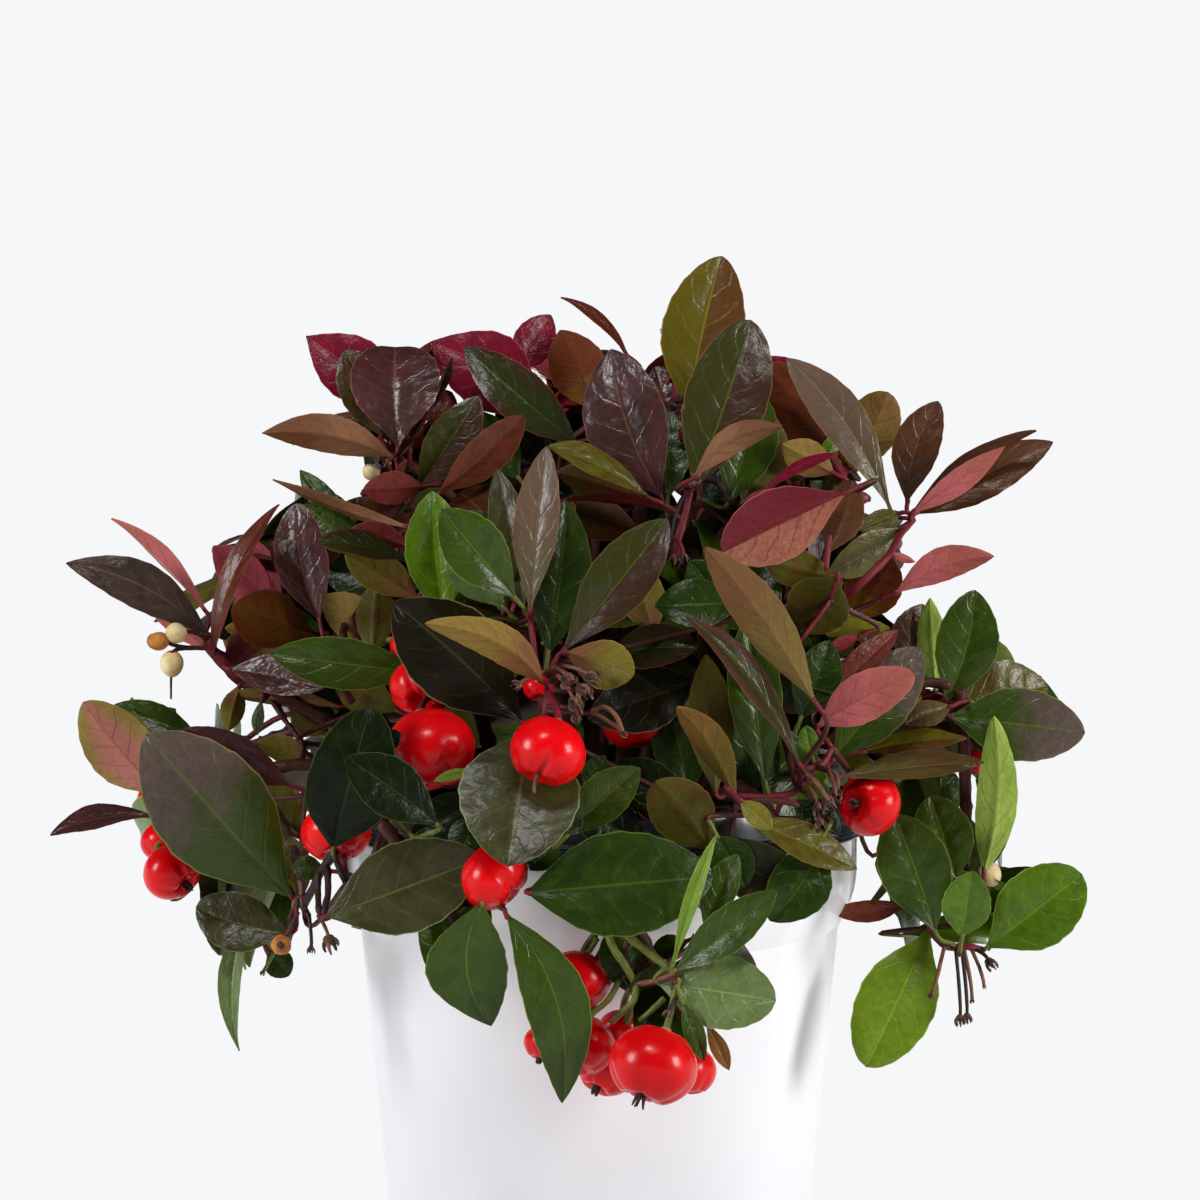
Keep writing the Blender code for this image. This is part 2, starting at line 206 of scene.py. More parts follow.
# tint: upper side (base, second colour, where the second colour lies), then the
# same for the underside, then the margin line. sRGB. "tip", "edge", "blush",
# "right" and "left" say where the second colour shows.
TINTS = {
    "dg": ((30, 48, 5), (42, 64, 8), "blush", (96, 108, 46), (106, 114, 52), "blush", (96, 112, 44)),
    # dk: the leaf's own dark green with the shade deep in the crown painted into it (painted shade)
    "dk": ((13, 23, 4), (21, 31, 6), "blush", (66, 74, 28), (60, 60, 24), "blush", (84, 96, 44)),
    "mg": ((52, 73, 6), (42, 60, 5), "blush", (112, 126, 54), (100, 116, 44), "blush", (132, 146, 62)),
    "bg": ((86, 120, 10), (72, 102, 10), "blush", (136, 156, 66), (122, 146, 54), "blush", (160, 176, 84)),
    "lm": ((116, 146, 32), (98, 128, 24), "blush", (150, 176, 76), (134, 162, 60), "blush", (184, 198, 110)),
    "ol": ((84, 82, 20), (78, 56, 14), "blush", (74, 72, 9), (84, 58, 16), "blush", (150, 104, 56)),
    "gp": ((36, 43, 5), (50, 27, 12), "edge", (96, 78, 30), (112, 62, 36), "tip", (138, 78, 54)),
    "gq": ((86, 72, 36), (74, 50, 26), "tip", (118, 96, 50), (112, 74, 44), "tip", (150, 108, 72)),
    "gt": ((54, 74, 12), (92, 74, 70), "tip", (132, 104, 52), (146, 90, 62), "tip", (146, 146, 70)),
    "pc": ((46, 44, 9), (76, 42, 38), "edge", (110, 66, 50), (90, 50, 38), "blush", (150, 96, 76)),
    "dp": ((72, 34, 34), (52, 26, 24), "blush", (128, 66, 60), (104, 52, 46), "blush", (140, 84, 76)),
    "bp": ((68, 50, 44), (50, 38, 31), "blush", (120, 64, 58), (100, 50, 44), "blush", (138, 92, 72)),
    "db": ((84, 47, 24), (68, 42, 26), "blush", (80, 42, 10), (66, 32, 8), "blush", (150, 84, 60)),
    "bb": ((88, 50, 28), (70, 38, 20), "blush", (134, 94, 64), (108, 68, 42), "tip", (160, 104, 70)),
    "du": ((70, 36, 14), (54, 28, 10), "blush", (72, 36, 8), (56, 44, 6), "tip", (130, 84, 50)),
    "rb": ((94, 36, 20), (72, 24, 12), "blush", (98, 42, 20), (74, 32, 10), "blush", (164, 96, 72)),
    "bu": ((96, 60, 20), (80, 44, 16), "blush", (124, 76, 28), (112, 52, 22), "edge", (150, 90, 60)),
    "cr": ((118, 14, 40), (98, 14, 34), "blush", (140, 40, 52), (112, 28, 38), "blush", (166, 74, 78)),
    "cp": ((138, 50, 56), (116, 38, 44), "blush", (160, 62, 70), (132, 48, 56), "blush", (170, 90, 90)),
    "pk": ((88, 32, 34), (70, 28, 28), "blush", (188, 98, 98), (172, 94, 80), "tip", (190, 122, 106)),
    "pt": ((80, 52, 30), (64, 68, 20), "left", (172, 108, 94), (134, 122, 50), "edge", (176, 108, 90)),
    "tn": ((72, 56, 24), (60, 44, 20), "blush", (140, 114, 52), (128, 84, 54), "base", (170, 134, 76)),
    "yo": ((88, 78, 12), (84, 48, 18), "right", (98, 84, 28), (122, 88, 40), "tip", (160, 118, 60)),
    "gg": ((58, 60, 28), (50, 42, 22), "blush", (110, 116, 70), (98, 104, 58), "blush", (132, 140, 84)),
    # gl: a pale grey-green that paints the sheen of lit glossy leaves into their colour (painted sheen); they also
    # shine for real by SHEEN
    "gl": ((104, 122, 70), (90, 110, 54), "blush", (122, 142, 84), (110, 132, 70), "blush", (124, 144, 84)),
    # bk: near-black for leaves inside the crown, their own dark colour and the shade they lie in painted as one
    # (painted shade)
    "bk": ((25, 19, 6), (19, 21, 6), "blush", (56, 46, 20), (48, 38, 16), "blush", (150, 118, 92)),
    "mr": ((134, 64, 50), (106, 46, 34), "blush", (106, 36, 32), (90, 30, 18), "blush", (160, 90, 76)),
    "yg": ((110, 104, 22), (94, 90, 16), "blush", (112, 102, 32), (124, 78, 50), "base", (176, 164, 80)),
    "or": ((132, 80, 14), (110, 84, 10), "base", (96, 42, 10), (116, 74, 10), "base", (164, 96, 50)),
    "ct": ((100, 52, 40), (84, 42, 30), "blush", (98, 24, 32), (152, 92, 70), "right", (168, 108, 84)),
    "gb": ((96, 76, 62), (82, 74, 42), "base", (116, 94, 60), (98, 80, 46), "blush", (158, 106, 76)),
    "dr": ((48, 50, 12), (54, 28, 17), "right", (100, 88, 40), (88, 66, 32), "blush", (132, 84, 58)),
}
TINT_LIST = list(TINTS)
SHEEN = {"bk": 0.14, "dk": 0.16, "dg": 0.25, "cr": 0.20, "dp": 0.58, "gl": 0.48, "gg": 0.24}     # how much the upper side shines


def leaf_material(tint, under):
    """One side of the leaves of one tint; every colour depends on the tile only."""
    row = TINTS[tint]
    base, second, where = (row[3], row[4], row[5]) if under else (row[0], row[1], row[2])
    n = Nodes(f"leaf_{tint}_{'under' if under else 'top'}")
    uv = n.node("ShaderNodeUVMap", uv_map="OFBake").outputs[0]
    big = n.node("ShaderNodeVectorMath", operation="SCALE")
    n.put(big.inputs[0], uv)
    big.inputs["Scale"].default_value = TILES
    frac = n.node("ShaderNodeVectorMath", operation="FRACTION")
    n.put(frac.inputs[0], big.outputs[0])
    split = n.node("ShaderNodeSeparateXYZ")
    n.put(split.inputs[0], frac.outputs[0])
    a = n.math("DIVIDE", n.math("SUBTRACT", split.outputs[0], PAD_U), 1 - 2 * PAD_U)
    s = n.math("DIVIDE", n.math("SUBTRACT", split.outputs[1], PAD_V), 1 - 2 * PAD_V)
    off = n.math("SUBTRACT", a, 0.5)
    d = n.math("MULTIPLY", n.math("ABSOLUTE", off), 2.0)
    right = n.math("GREATER_THAN", off, 0.0)
    place = n.node("ShaderNodeCombineXYZ")
    n.put(place.inputs[0], a)
    n.put(place.inputs[1], n.math("MULTIPLY", s, 2.0))
    place.inputs[2].default_value = 3.7 * TINT_LIST.index(tint) + (50 if under else 0)
    place = place.outputs[0]

    wander = n.math("MULTIPLY", n.math("SUBTRACT", n.noise(place, 4.0), 0.5), 0.10)
    lean = n.math("ADD", n.math("MULTIPLY", d, 0.15), n.math("MULTIPLY", n.math("MULTIPLY", d, d), 0.10))
    c = n.math("ADD", n.math("SUBTRACT", s, lean), wander)
    f = n.math("FRACT", n.math("ADD", n.math("MULTIPLY", c, 5.6), n.math("MULTIPLY", right, 0.45)))
    near = n.math("ABSOLUTE", n.math("SUBTRACT", f, 0.5))
    vein = n.math("MULTIPLY", n.ramp(near, 0.085, 0.02), n.ramp(d, 0.92, 0.75))
    net = n.node("ShaderNodeTexVoronoi", feature="DISTANCE_TO_EDGE")
    n.put(net.inputs["Vector"], place)
    net.inputs["Scale"].default_value = 11
    fine = n.ramp(net.outputs["Distance"], 0.07, 0.01)
    rib = n.ramp(d, 0.045, 0.010)
    edge = n.ramp(d, 0.965, 0.992)

    blotch = n.noise(place, 3.2, 3.0, 0.6)
    if where == "tip":
        amount = n.ramp(n.math("ADD", s, n.math("MULTIPLY", n.math("SUBTRACT", blotch, 0.5), 0.6)), 0.38, 0.72)
    elif where == "base":
        amount = n.ramp(n.math("ADD", s, n.math("MULTIPLY", n.math("SUBTRACT", blotch, 0.5), 0.5)), 0.55, 0.2)
    elif where == "edge":
        amount = n.ramp(n.math("ADD", n.math("ADD", n.math("MULTIPLY", d, 0.7), n.math("MULTIPLY", s, 0.45)),
                               n.math("MULTIPLY", n.math("SUBTRACT", blotch, 0.5), 0.7)), 0.45, 0.95)
    elif where == "right":
        amount = n.ramp(n.math("ADD", off, n.math("MULTIPLY", n.math("SUBTRACT", blotch, 0.5), 0.10)), -0.02, 0.03)
    elif where == "left":
        amount = n.ramp(n.math("ADD", off, n.math("MULTIPLY", n.math("SUBTRACT", blotch, 0.5), 0.10)), 0.02, -0.03)
    else:
        amount = n.ramp(blotch, 0.38, 0.68)
    colour = n.mix(amount, lin(base), lin(second))
    shade = n.ramp(n.noise(place, 14.0, 4.0, 0.65), 0.30, 0.72)
    dark = tuple(x * 0.72 for x in base)
    colour = n.mix(n.math("MULTIPLY", shade, 0.45), colour, lin(dark))
    if under:
        ink = tuple(x * y for x, y in zip(base, (0.80, 0.66, 0.70)))
        colour = n.mix(n.math("MULTIPLY", vein, 0.45), colour, lin(ink))
        colour = n.mix(n.math("MULTIPLY", fine, 0.18), colour, lin(ink))
        colour = n.mix(n.math("MULTIPLY", rib, 0.65), colour, lin(ink))
    else:
        ink = tuple(x * 0.9 + y for x, y in zip(base, (34, 34, 14)))
        colour = n.mix(n.math("MULTIPLY", vein, 0.16), colour, lin(ink))
        colour = n.mix(n.math("MULTIPLY", fine, 0.05), colour, lin(ink))
        colour = n.mix(n.math("MULTIPLY", rib, 0.52), colour, lin(tuple(x + 10 for x in ink)))
    colour = n.mix(n.math("MULTIPLY", edge, 0.62), colour, lin(row[6]))

    relief = n.math("ADD", n.math("MULTIPLY", vein, 0.26 if not under else 0.5), n.math("MULTIPLY", fine, 0.04 if not under else 0.2))
    relief = n.math("ADD", relief, n.math("MULTIPLY", n.noise(place, 20.0, 2.0, 0.5), 0.35))
    if not under:        # broad quilting between the side veins
        relief = n.math("ADD", relief, n.math("MULTIPLY", n.noise(place, 5.5, 1.0, 0.4), 2.6 if tint == "dp" else 1.5))
    sign = 1.0 if under else -1.0
    normal = n.bump(n.math("MULTIPLY", relief, sign), 0.62 if not under else 0.4, 0.00022)
    return n.finish(colour, 0.48 if under else 0.29, normal, Specular_IOR_Level=0.16 if under else SHEEN.get(tint, 0.34))


BARKS = {   # tube tints: base, second
    "crimson": ((116, 20, 36), (78, 24, 30)),
    "brown": ((80, 34, 28), (50, 27, 22)),
    "green": ((104, 112, 44), (78, 82, 34)),
    "dry": ((128, 84, 62), (84, 50, 38)),
    "dark": ((52, 34, 28), (30, 20, 17)),
}
BARK_LIST = list(BARKS)


def bark_material(kind):
    base, second = BARKS[kind]
    n = Nodes(f"twig_{kind}")
    uv = n.node("ShaderNodeUVMap", uv_map="OFBake").outputs[0]
    big = n.node("ShaderNodeVectorMath", operation="MULTIPLY")
    n.put(big.inputs[0], uv)
    big.inputs[1].default_value = (5.0, 1.0, 0.0)
    frac = n.node("ShaderNodeVectorMath", operation="FRACTION")
    n.put(frac.inputs[0], big.outputs[0])
    turn = n.node("ShaderNodeVectorMath", operation="MULTIPLY")
    n.put(turn.inputs[0], frac.outputs[0])
    turn.inputs[1].default_value = (6.0, 14.0, 1.0)
    streak = n.noise(turn.outputs[0], 2.0, 4.0, 0.65)
    ring = n.noise(frac.outputs[0], 38.0, 2.0, 0.5)
    colour = n.mix(n.ramp(streak, 0.38, 0.66), lin(base), lin(second))
    colour = n.mix(n.math("MULTIPLY", n.ramp(ring, 0.55, 0.75), 0.35), colour, lin(tuple(min(255, x * 1.35 + 14) for x in base)))
    height = n.math("ADD", streak, n.math("MULTIPLY", ring, 0.4))
    return n.finish(colour, 0.5, n.bump(height, 0.5, 0.0002), Specular_IOR_Level=0.28)


def berry_material():
    n = Nodes("berry_red")
    co = n.node("ShaderNodeTexCoord").outputs["Object"]
    blotch = n.noise(co, 60.0, 2.0, 0.5)
    colour = n.mix(n.ramp(blotch, 0.36, 0.66), lin((222, 2, 11)), lin((194, 2, 10)))
    pores = n.noise(co, 900.0, 2.0, 0.5)
    colour = n.mix(n.math("MULTIPLY", n.ramp(pores, 0.66, 0.74), 0.25), colour, lin((226, 50, 44)))
    fine = n.noise(co, 520.0, 3.0, 0.55)
    return n.finish(colour, 0.27, n.bump(fine, 0.22, 0.0004), Specular_IOR_Level=0.22, Coat_Weight=0.10,
                    Coat_Roughness=0.14, Subsurface_Weight=0.0)


def mottled(name, one, two, scale, rough, bump=0.3, distance=0.0003, **sockets):
    n = Nodes(name)
    co = n.node("ShaderNodeTexCoord").outputs["Object"]
    blotch = n.noise(co, scale, 4.0, 0.6)
    colour = n.mix(n.ramp(blotch, 0.36, 0.66), lin(one), lin(two))
    return n.finish(colour, rough, n.bump(n.noise(co, scale * 3, 3.0, 0.6), bump, distance), **sockets)


# ---- mesh pieces -------------------------------------------------------------
class Piece:
    """Collects grids of points (mm) and makes one object of them."""

    def __init__(self, name):
        self.name, self.count = name, 0
        self.v, self.f, self.uv, self.m = [], [], [], []

    def grid(self, points, uv, mat, close=False):
        """points (rows, cols, 3); close joins the last column to the first."""
        r, c = points.shape[:2]
        idx = self.count + np.arange(r * c).reshape(r, c)
        self.v.append(points.reshape(-1, 3))
        self.count += r * c
        if close:
            idx = np.concatenate([idx, idx[:, :1]], 1)
            last = uv[:, :1].copy()
            last[..., 0] = 2 * uv[:, -1:, 0] - uv[:, -2:-1, 0]
            uv = np.concatenate([uv, last], 1)
        k = np.arange(idx.size).reshape(idx.shape)
        flat = uv.reshape(-1, 2)
        corners = [g for g in (
            (slice(None, -1), slice(None, -1)), (slice(None, -1), slice(1, None)),
            (slice(1, None), slice(1, None)), (slice(1, None), slice(None, -1)))]
        self.f.append(np.stack([idx[g] for g in corners], -1).reshape(-1, 4))
        self.uv.append(flat[np.stack([k[g] for g in corners], -1).reshape(-1)])
        self.m.append(np.full((idx.shape[0] - 1) * (idx.shape[1] - 1), mat, np.int32))

    def make(self, materials, sharp=None):
        mesh = bpy.data.meshes.new(self.name)
        v = np.concatenate(self.v) * MM
        f = np.concatenate(self.f)
        uv = np.concatenate(self.uv)
        m = np.concatenate(self.m)
        used = sorted(set(m.tolist()))
        lookup = np.zeros(max(used) + 1, np.int32)
        for k, old in enumerate(used):
            lookup[old] = k
            mesh.materials.append(materials[old])
        mesh.vertices.add(len(v))
        mesh.vertices.foreach_set("co", v.astype(np.float32).ravel())
        mesh.loops.add(len(f) * 4)
        mesh.loops.foreach_set("vertex_index", f.astype(np.int32).ravel())
        mesh.polygons.add(len(f))
        mesh.polygons.foreach_set("loop_start", np.arange(0, len(f) * 4, 4, dtype=np.int32))
        mesh.polygons.foreach_set("material_index", lookup[m])
        mesh.polygons.foreach_set("use_smooth", np.ones(len(f), bool))
        layer = mesh.uv_layers.new(name="OFBake")
        layer.data.foreach_set("uv", uv.astype(np.float32).ravel())
        mesh.update(calc_edges=True)
        mesh.validate()
        if sharp is not None:
            mesh.set_sharp_from_angle(angle=math.radians(sharp))
        ob = bpy.data.objects.new(self.name, mesh)
        bpy.context.scene.collection.objects.link(ob)
        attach(ob, "root")
        return ob


HERO_COLS = np.array([-1, -0.86, -0.62, -0.36, -0.13, 0, 0.13, 0.36, 0.62, 0.86, 1.0])
FILL_COLS = np.array([-1, -0.78, -0.42, -0.1, 0.1, 0.42, 0.78, 1.0])


def leaf_grid(base, tip, normal, width, bend=20, fold=12, wave=0.0, twist=0.0, side=0.0,
              obovate=1.12, blunt=0.72, curl=0.1, rows=28, cols=HERO_COLS, phase=0.0, teeth=0.016):
    """Upper and lower surface of one leaf as two grids, and their (across, along)."""
    chord = tip - base
    length = np.linalg.norm(chord)
    y = chord / length
    n0 = unit(normal - y * (normal @ y))
    t = np.linspace(0, 1, rows)
    s = 0.45 * t + 0.55 * (1 - np.cos(np.pi * t)) / 2
    ang = -math.radians(bend) * (s ** 1.25)
    mid = (ang[1:] + ang[:-1]) / 2
    ds = np.diff(s)
    cy = np.concatenate([[0], np.cumsum(np.cos(mid) * ds)])
    cz = np.concatenate([[0], np.cumsum(np.sin(mid) * ds)])
    tilt = -math.atan2(cz[-1], cy[-1])
    ct, st = math.cos(tilt), math.sin(tilt)
    py, pz = cy * ct - cz * st, cy * st + cz * ct
    scale = length / py[-1]
    py, pz = py * scale, pz * scale
    ang = ang + tilt
    x0 = np.cross(y, n0)
    path = base + np.outer(py, y) + np.outer(pz, n0) + np.outer(side * length * 4 * s * (1 - s), x0)
    tang = np.outer(np.cos(ang), y) + np.outer(np.sin(ang), n0)
    norm = np.outer(-np.sin(ang), y) + np.outer(np.cos(ang), n0)
    tau = math.radians(twist) * (s - 0.35)
    across = np.outer(np.cos(tau), x0) + norm * np.sin(tau)[:, None]
    norm = norm * np.cos(tau)[:, None] - np.outer(np.sin(tau), x0)

    ends = 0.98 + (blunt - 0.98) * smooth(s, 0.12, 0.55)     # a wedge at the base, blunter at the tip
    shape = np.sin(np.pi * np.clip(s, 0, 1) ** obovate) ** ends
    shape = shape / shape.max()
    half = np.maximum(width / 2 * shape, np.where(s < 0.5, 0.42, 0.10))
    v = cols[None, :]
    edge = 1.0 + teeth * (np.arange(rows) % 3)               # small teeth that point forward
    edge[:2] = edge[-2:] = 1.0
    reach = np.where(np.abs(v) > 0.99, edge[:, None], 1.0)
    h = half[:, None]
    fa = math.radians(fold)
    x = h * v * reach * (1 - (1 - math.cos(fa)) * np.abs(v))
    z = h * (math.sin(fa) * np.abs(v) - curl * v * v)
    if wave:
        z = z + wave * h * np.abs(v) ** 1.4 * np.sin(2 * np.pi * 1.7 * s[:, None] + phase + 1.1 * np.sign(v))
    z = z + 0.10 * h ** 0.5 * np.sin(2 * np.pi * 5.6 * (s[:, None] - 0.15 * np.abs(v))) * np.abs(v) * (1 - np.abs(v)) * 1.6
    groove = 0.13 * np.exp(-(v / 0.10) ** 2)
    keel = 0.34 * np.exp(-(v / 0.11) ** 2) * (1 - 0.75 * s[:, None])
    thick = 0.30 * (1 - v ** 4)
    top = path[:, None] + across[:, None] * x[..., None] + norm[:, None] * (z - groove)[..., None]
    low = path[:, None] + across[:, None] * x[..., None] + norm[:, None] * (z - thick - keel)[..., None]
    uv = np.stack(np.broadcast_arrays((v + 1) / 2, s[:, None]), -1)
    return top, low, uv


def put_leaf(piece, tint, top, low, uv):
    for under, points in ((0, top), (1, low)):
        tile = TINT_LIST.index(tint) * 2 + under
        place = np.empty_like(uv)
        place[..., 0] = (tile % TILES + PAD_U + (1 - 2 * PAD_U) * uv[..., 0]) / TILES
        place[..., 1] = (tile // TILES + PAD_V + (1 - 2 * PAD_V) * uv[..., 1]) / TILES
        if under:
            piece.grid(points[:, ::-1], place[:, ::-1], tile)
        else:
            piece.grid(points, place, tile)


def bezier(a, b, c, d, count):
    t = np.linspace(0, 1, count)[:, None]
    s = 1 - t
    return a * s ** 3 + b * 3 * s * s * t + c * 3 * s * t * t + d * t ** 3


def through(points, per=6):
    """A smooth line through points (Catmull-Rom)."""
    p = np.array(points, float)
    if len(p) == 2:
        return np.linspace(p[0], p[1], per + 1)
    ext = np.concatenate([[2 * p[0] - p[1]], p, [2 * p[-1] - p[-2]]])
    out = []
    for k in range(1, len(ext) - 2):
        a, b, c, d = ext[k - 1:k + 3]
        t = np.linspace(0, 1, per, endpoint=False)[:, None]
        out.append(0.5 * (2 * b + (c - a) * t + (2 * a - 5 * b + 4 * c - d) * t ** 2 + (3 * b - a - 3 * c + d) * t ** 3))
    out.append(p[-1:])
    return np.concatenate(out)


def tube(piece, kind, path, radii, sides=8, relief=0.06, knots=0.0, seed=0):
    """A tapering stem with small relief, closed at both ends."""
    path = np.asarray(path, float)
    n = len(path)
    radii = np.interp(np.linspace(0, 1, n), np.linspace(0, 1, len(np.atleast_1d(radii))), np.atleast_1d(radii))
    tang = np.gradient(path, axis=0)
    tang /= np.maximum(np.linalg.norm(tang, axis=1), 1e-9)[:, None]
    side = unit(np.cross(tang[0], V(0.31, 0.87, 0.38)))
    r = np.random.default_rng(seed + 991)
    turn = np.linspace(0, 2 * np.pi, sides, endpoint=False)
    run = np.concatenate([[0], np.cumsum(np.linalg.norm(np.diff(path, axis=0), axis=1))])
    rings = []
    grain = r.normal(0, 1, (n, sides))
    grain = (grain + np.roll(grain, 1, 0)) / 1.6
    for k in range(n):
        side = unit(side - tang[k] * (side @ tang[k]))
        up = np.cross(tang[k], side)
        rad = radii[k] * (1 + relief * grain[k])
        if knots:
            rad = rad * (1 + knots * max(0.0, math.cos(run[k] * 2 * math.pi / 7.5 + seed)) ** 6)
        rings.append(path[k] + np.outer(np.cos(turn) * rad, side) + np.outer(np.sin(turn) * rad, up))
    first = path[0] + (rings[0] - path[0]) * 0.05 - tang[0] * radii[0] * 0.3
    last = path[-1] + (rings[-1] - path[-1]) * 0.05 + tang[-1] * radii[-1] * 0.4
    pts = np.stack([first] + rings + [last])
    along = np.concatenate([[run[0]], run, [run[-1]]])
    k = BARK_LIST.index(kind)
    u = (k + 0.06 + 0.88 * np.arange(sides) / sides) / len(BARKS)
    v = 0.02 + 0.96 * np.abs(((along / 60.0) + 0.13 * (seed % 7)) % 2 - 1)
    uv = np.stack(np.broadcast_arrays(u[None, :], v[:, None]), -1)
    piece.grid(pts, uv, 100 + k, close=True)


# ---- the limbs, on the same paths as the CAD -----------------------------------
GROUND, LIP_R, LIP_TOP = 99.4, 53.5, 107.0
MASSES = {
    "crown_top": ((16, 4, 183), (17, 20, 20)),
    "crown_top_left": ((-17, 8, 178), (16, 19, 16)),
    "crown_upper_left": ((-46, 0, 174), (15, 21, 15)),
    "crown_upper_right": ((42, 2, 166), (15, 22, 20)),
    "front_centre": ((-12, -40, 147), (24, 20, 24)),
    "left_centre": ((-50, -20, 143), (18, 24, 19)),
    "right_centre": ((28, -36, 132), (17, 20, 23)),
    "right_cluster": ((70, -12, 126), (19, 22, 16)),
    "left_arm_leaves": ((-84, -14, 143), (14, 17, 15)),
    "right_arm_leaves": ((70, -4, 163), (12, 16, 15)),
    "front_low": ((0, -68, 106), (22, 11, 15)),
    "front_left_low": ((-40, -62, 108), (17, 14, 18)),
    "front_right_low": ((36, -60, 100), (13, 11, 14)),
    "left_low": ((-80, -22, 103), (22, 24, 21)),
    "hanging_left": ((-70, -32, 75), (11, 14, 10)),
    "hanging_front_left": ((-17, -64, 74), (15, 8.5, 14)),
    "hanging_front_right": ((16, -65, 72), (16, 9.5, 14)),
    "hanging_right": ((70, -22, 82), (18, 17, 20)),
    "back_top": ((0, 36, 172), (26, 17, 19)),
    "back_left": ((-46, 38, 152), (22, 21, 22)),
    "back_right": ((46, 38, 147), (22, 21, 21)),
    "back_inner": ((2, 40, 130), (24, 17, 17)),
    "back_centre": ((0, 66, 136), (24, 17, 19)),
    "back_left_low": ((-72, 32, 108), (21, 22, 19)),
    "back_right_low": ((70, 36, 106), (21, 21, 19)),
    "back_low": ((2, 76, 100), (24, 13, 17)),
    "hanging_back": ((-34, 70, 78), (15, 11, 14)),
}
# name, bearing, distance, mass, rise, how much of the path is stem, (approach)
STEMS = (
    ("stem_top", 60, 9.4, "crown_top", 60, 0.93),
    ("stem_top_left", 140, 9.4, "crown_top_left", 58, 0.96),
    ("stem_upper_left", 188, 9.4, "crown_upper_left", 50, 0.92),
    ("stem_upper_right", 10, 9.4, "crown_upper_right", 48, 0.94),
    ("stem_back_top", 100, 9.4, "back_top", 52, 1.0),
    ("stem_front", 258, 15.0, "front_centre", 10, 0.95),
    ("stem_left", 205, 24.0, "left_centre", 8, 0.95),
    ("stem_right", 305, 20.0, "right_centre", 4, 0.95),
    ("stem_back_left", 140, 26.0, "back_left", 10, 1.0),
    ("stem_back_right", 40, 26.0, "back_right", 10, 1.0),
    ("stem_back", 90, 28.0, "back_inner", 4, 1.0),
    ("stem_left_low", 203, 38.0, "left_low", 14, 0.95),
    ("stem_right_low", 342, 37.0, "right_cluster", 12, 0.95),
    ("stem_front_left_low", 238, 37.0, "front_left_low", 14, 0.95),
    ("stem_front_right_low", 300, 37.0, "front_right_low", 14, 0.95),
    ("stem_back_left_low", 156, 37.0, "back_left_low", 14, 1.0),
    ("stem_back_right_low", 26, 37.0, "back_right_low", 14, 1.0),
    ("left_arm_stem", 182, 34.0, "left_arm_leaves", 17, 0.86, (18, -4, -21)),
    ("right_arm_stem", 340, 30.0, "right_arm_leaves", 26, 0.94, (-22, -8, -22)),
)
ARMS = (
    ("drooping_stem_right", "right_cluster", "hanging_right", (1, -1, 0)),
    ("drooping_stem_front", "front_low", "hanging_front_right", (-1, -1, 0)),
    ("drooping_stem_front_left", "front_left_low", "hanging_front_left", (2, -1, 0)),
)
CARRIERS = {   # masses whose twigs spring from the limb of a neighbour
    "hanging_left": ["stem_left_low"],
    "front_low": ["stem_front", "stem_front_right_low"],
    "back_centre": ["stem_back"],
    "back_low": ["stem_back"],
    "hanging_back": ["stem_back_left_low", "stem_back"],
}

limbs = {}      # name: (points, radii)
for row in STEMS:
    name, bearing, far, target, rise, keep = row[:6]
    a = math.radians(bearing)
    foot = V(far * math.cos(a), far * math.sin(a), GROUND + 0.3)
    goal = V(*MASSES[target][0])
    lift = foot + V(0, 0, rise)
    out = V(goal[0], goal[1], 0)
    if len(row) > 6:
        bend = goal + V(*row[6])
    elif np.linalg.norm(out) > 56:
        bend = goal - unit(out) * 12
        bend[2] = max(goal[2] + 8, LIP_TOP + 11)
    else:
        bend = (lift + goal) / 2 + V(0, 0, 4)
    pts = bezier(foot, lift, bend, goal, 90)
    pts = pts[:max(8, int(90 * keep))]
    limbs[name] = (pts, np.interp(np.linspace(0, keep, len(pts)), [0, 1], [1.7, 0.95]))
    if name == "right_arm_stem":         # its last part bends up into the spray that the camera sees
        cut = int(len(pts) * 0.62)
        a, b = pts[cut], at(839, 601, -23)
        tail = bezier(a, a + unit(pts[cut] - pts[cut - 3]) * 6, b + V(-3, 1, -4), b, 20)
        limbs[name] = (np.concatenate([pts[:cut], tail]), np.linspace(1.7, 0.95, cut + 20))
for name, a, b, bow in ARMS:
    pa, pb, bow = V(*MASSES[a][0]), V(*MASSES[b][0]), V(*bow)
    pts = bezier(pa, pa + (pb - pa) * 0.33 + bow, pa + (pb - pa) * 0.67 + bow, pb, 50)
    if name == "drooping_stem_front_left":       # ends behind the leaves it carries
        pts = pts[:38]
    limbs[name] = (pts, np.linspace(1.35, 0.9, len(pts)))
BY_MASS = {m: [] for m in MASSES}
for row in STEMS:
    BY_MASS[row[3]].append(row[0])
for name, a, b, _ in ARMS:
    BY_MASS[b].append(name)
for mass, names in CARRIERS.items():
    BY_MASS[mass] += names

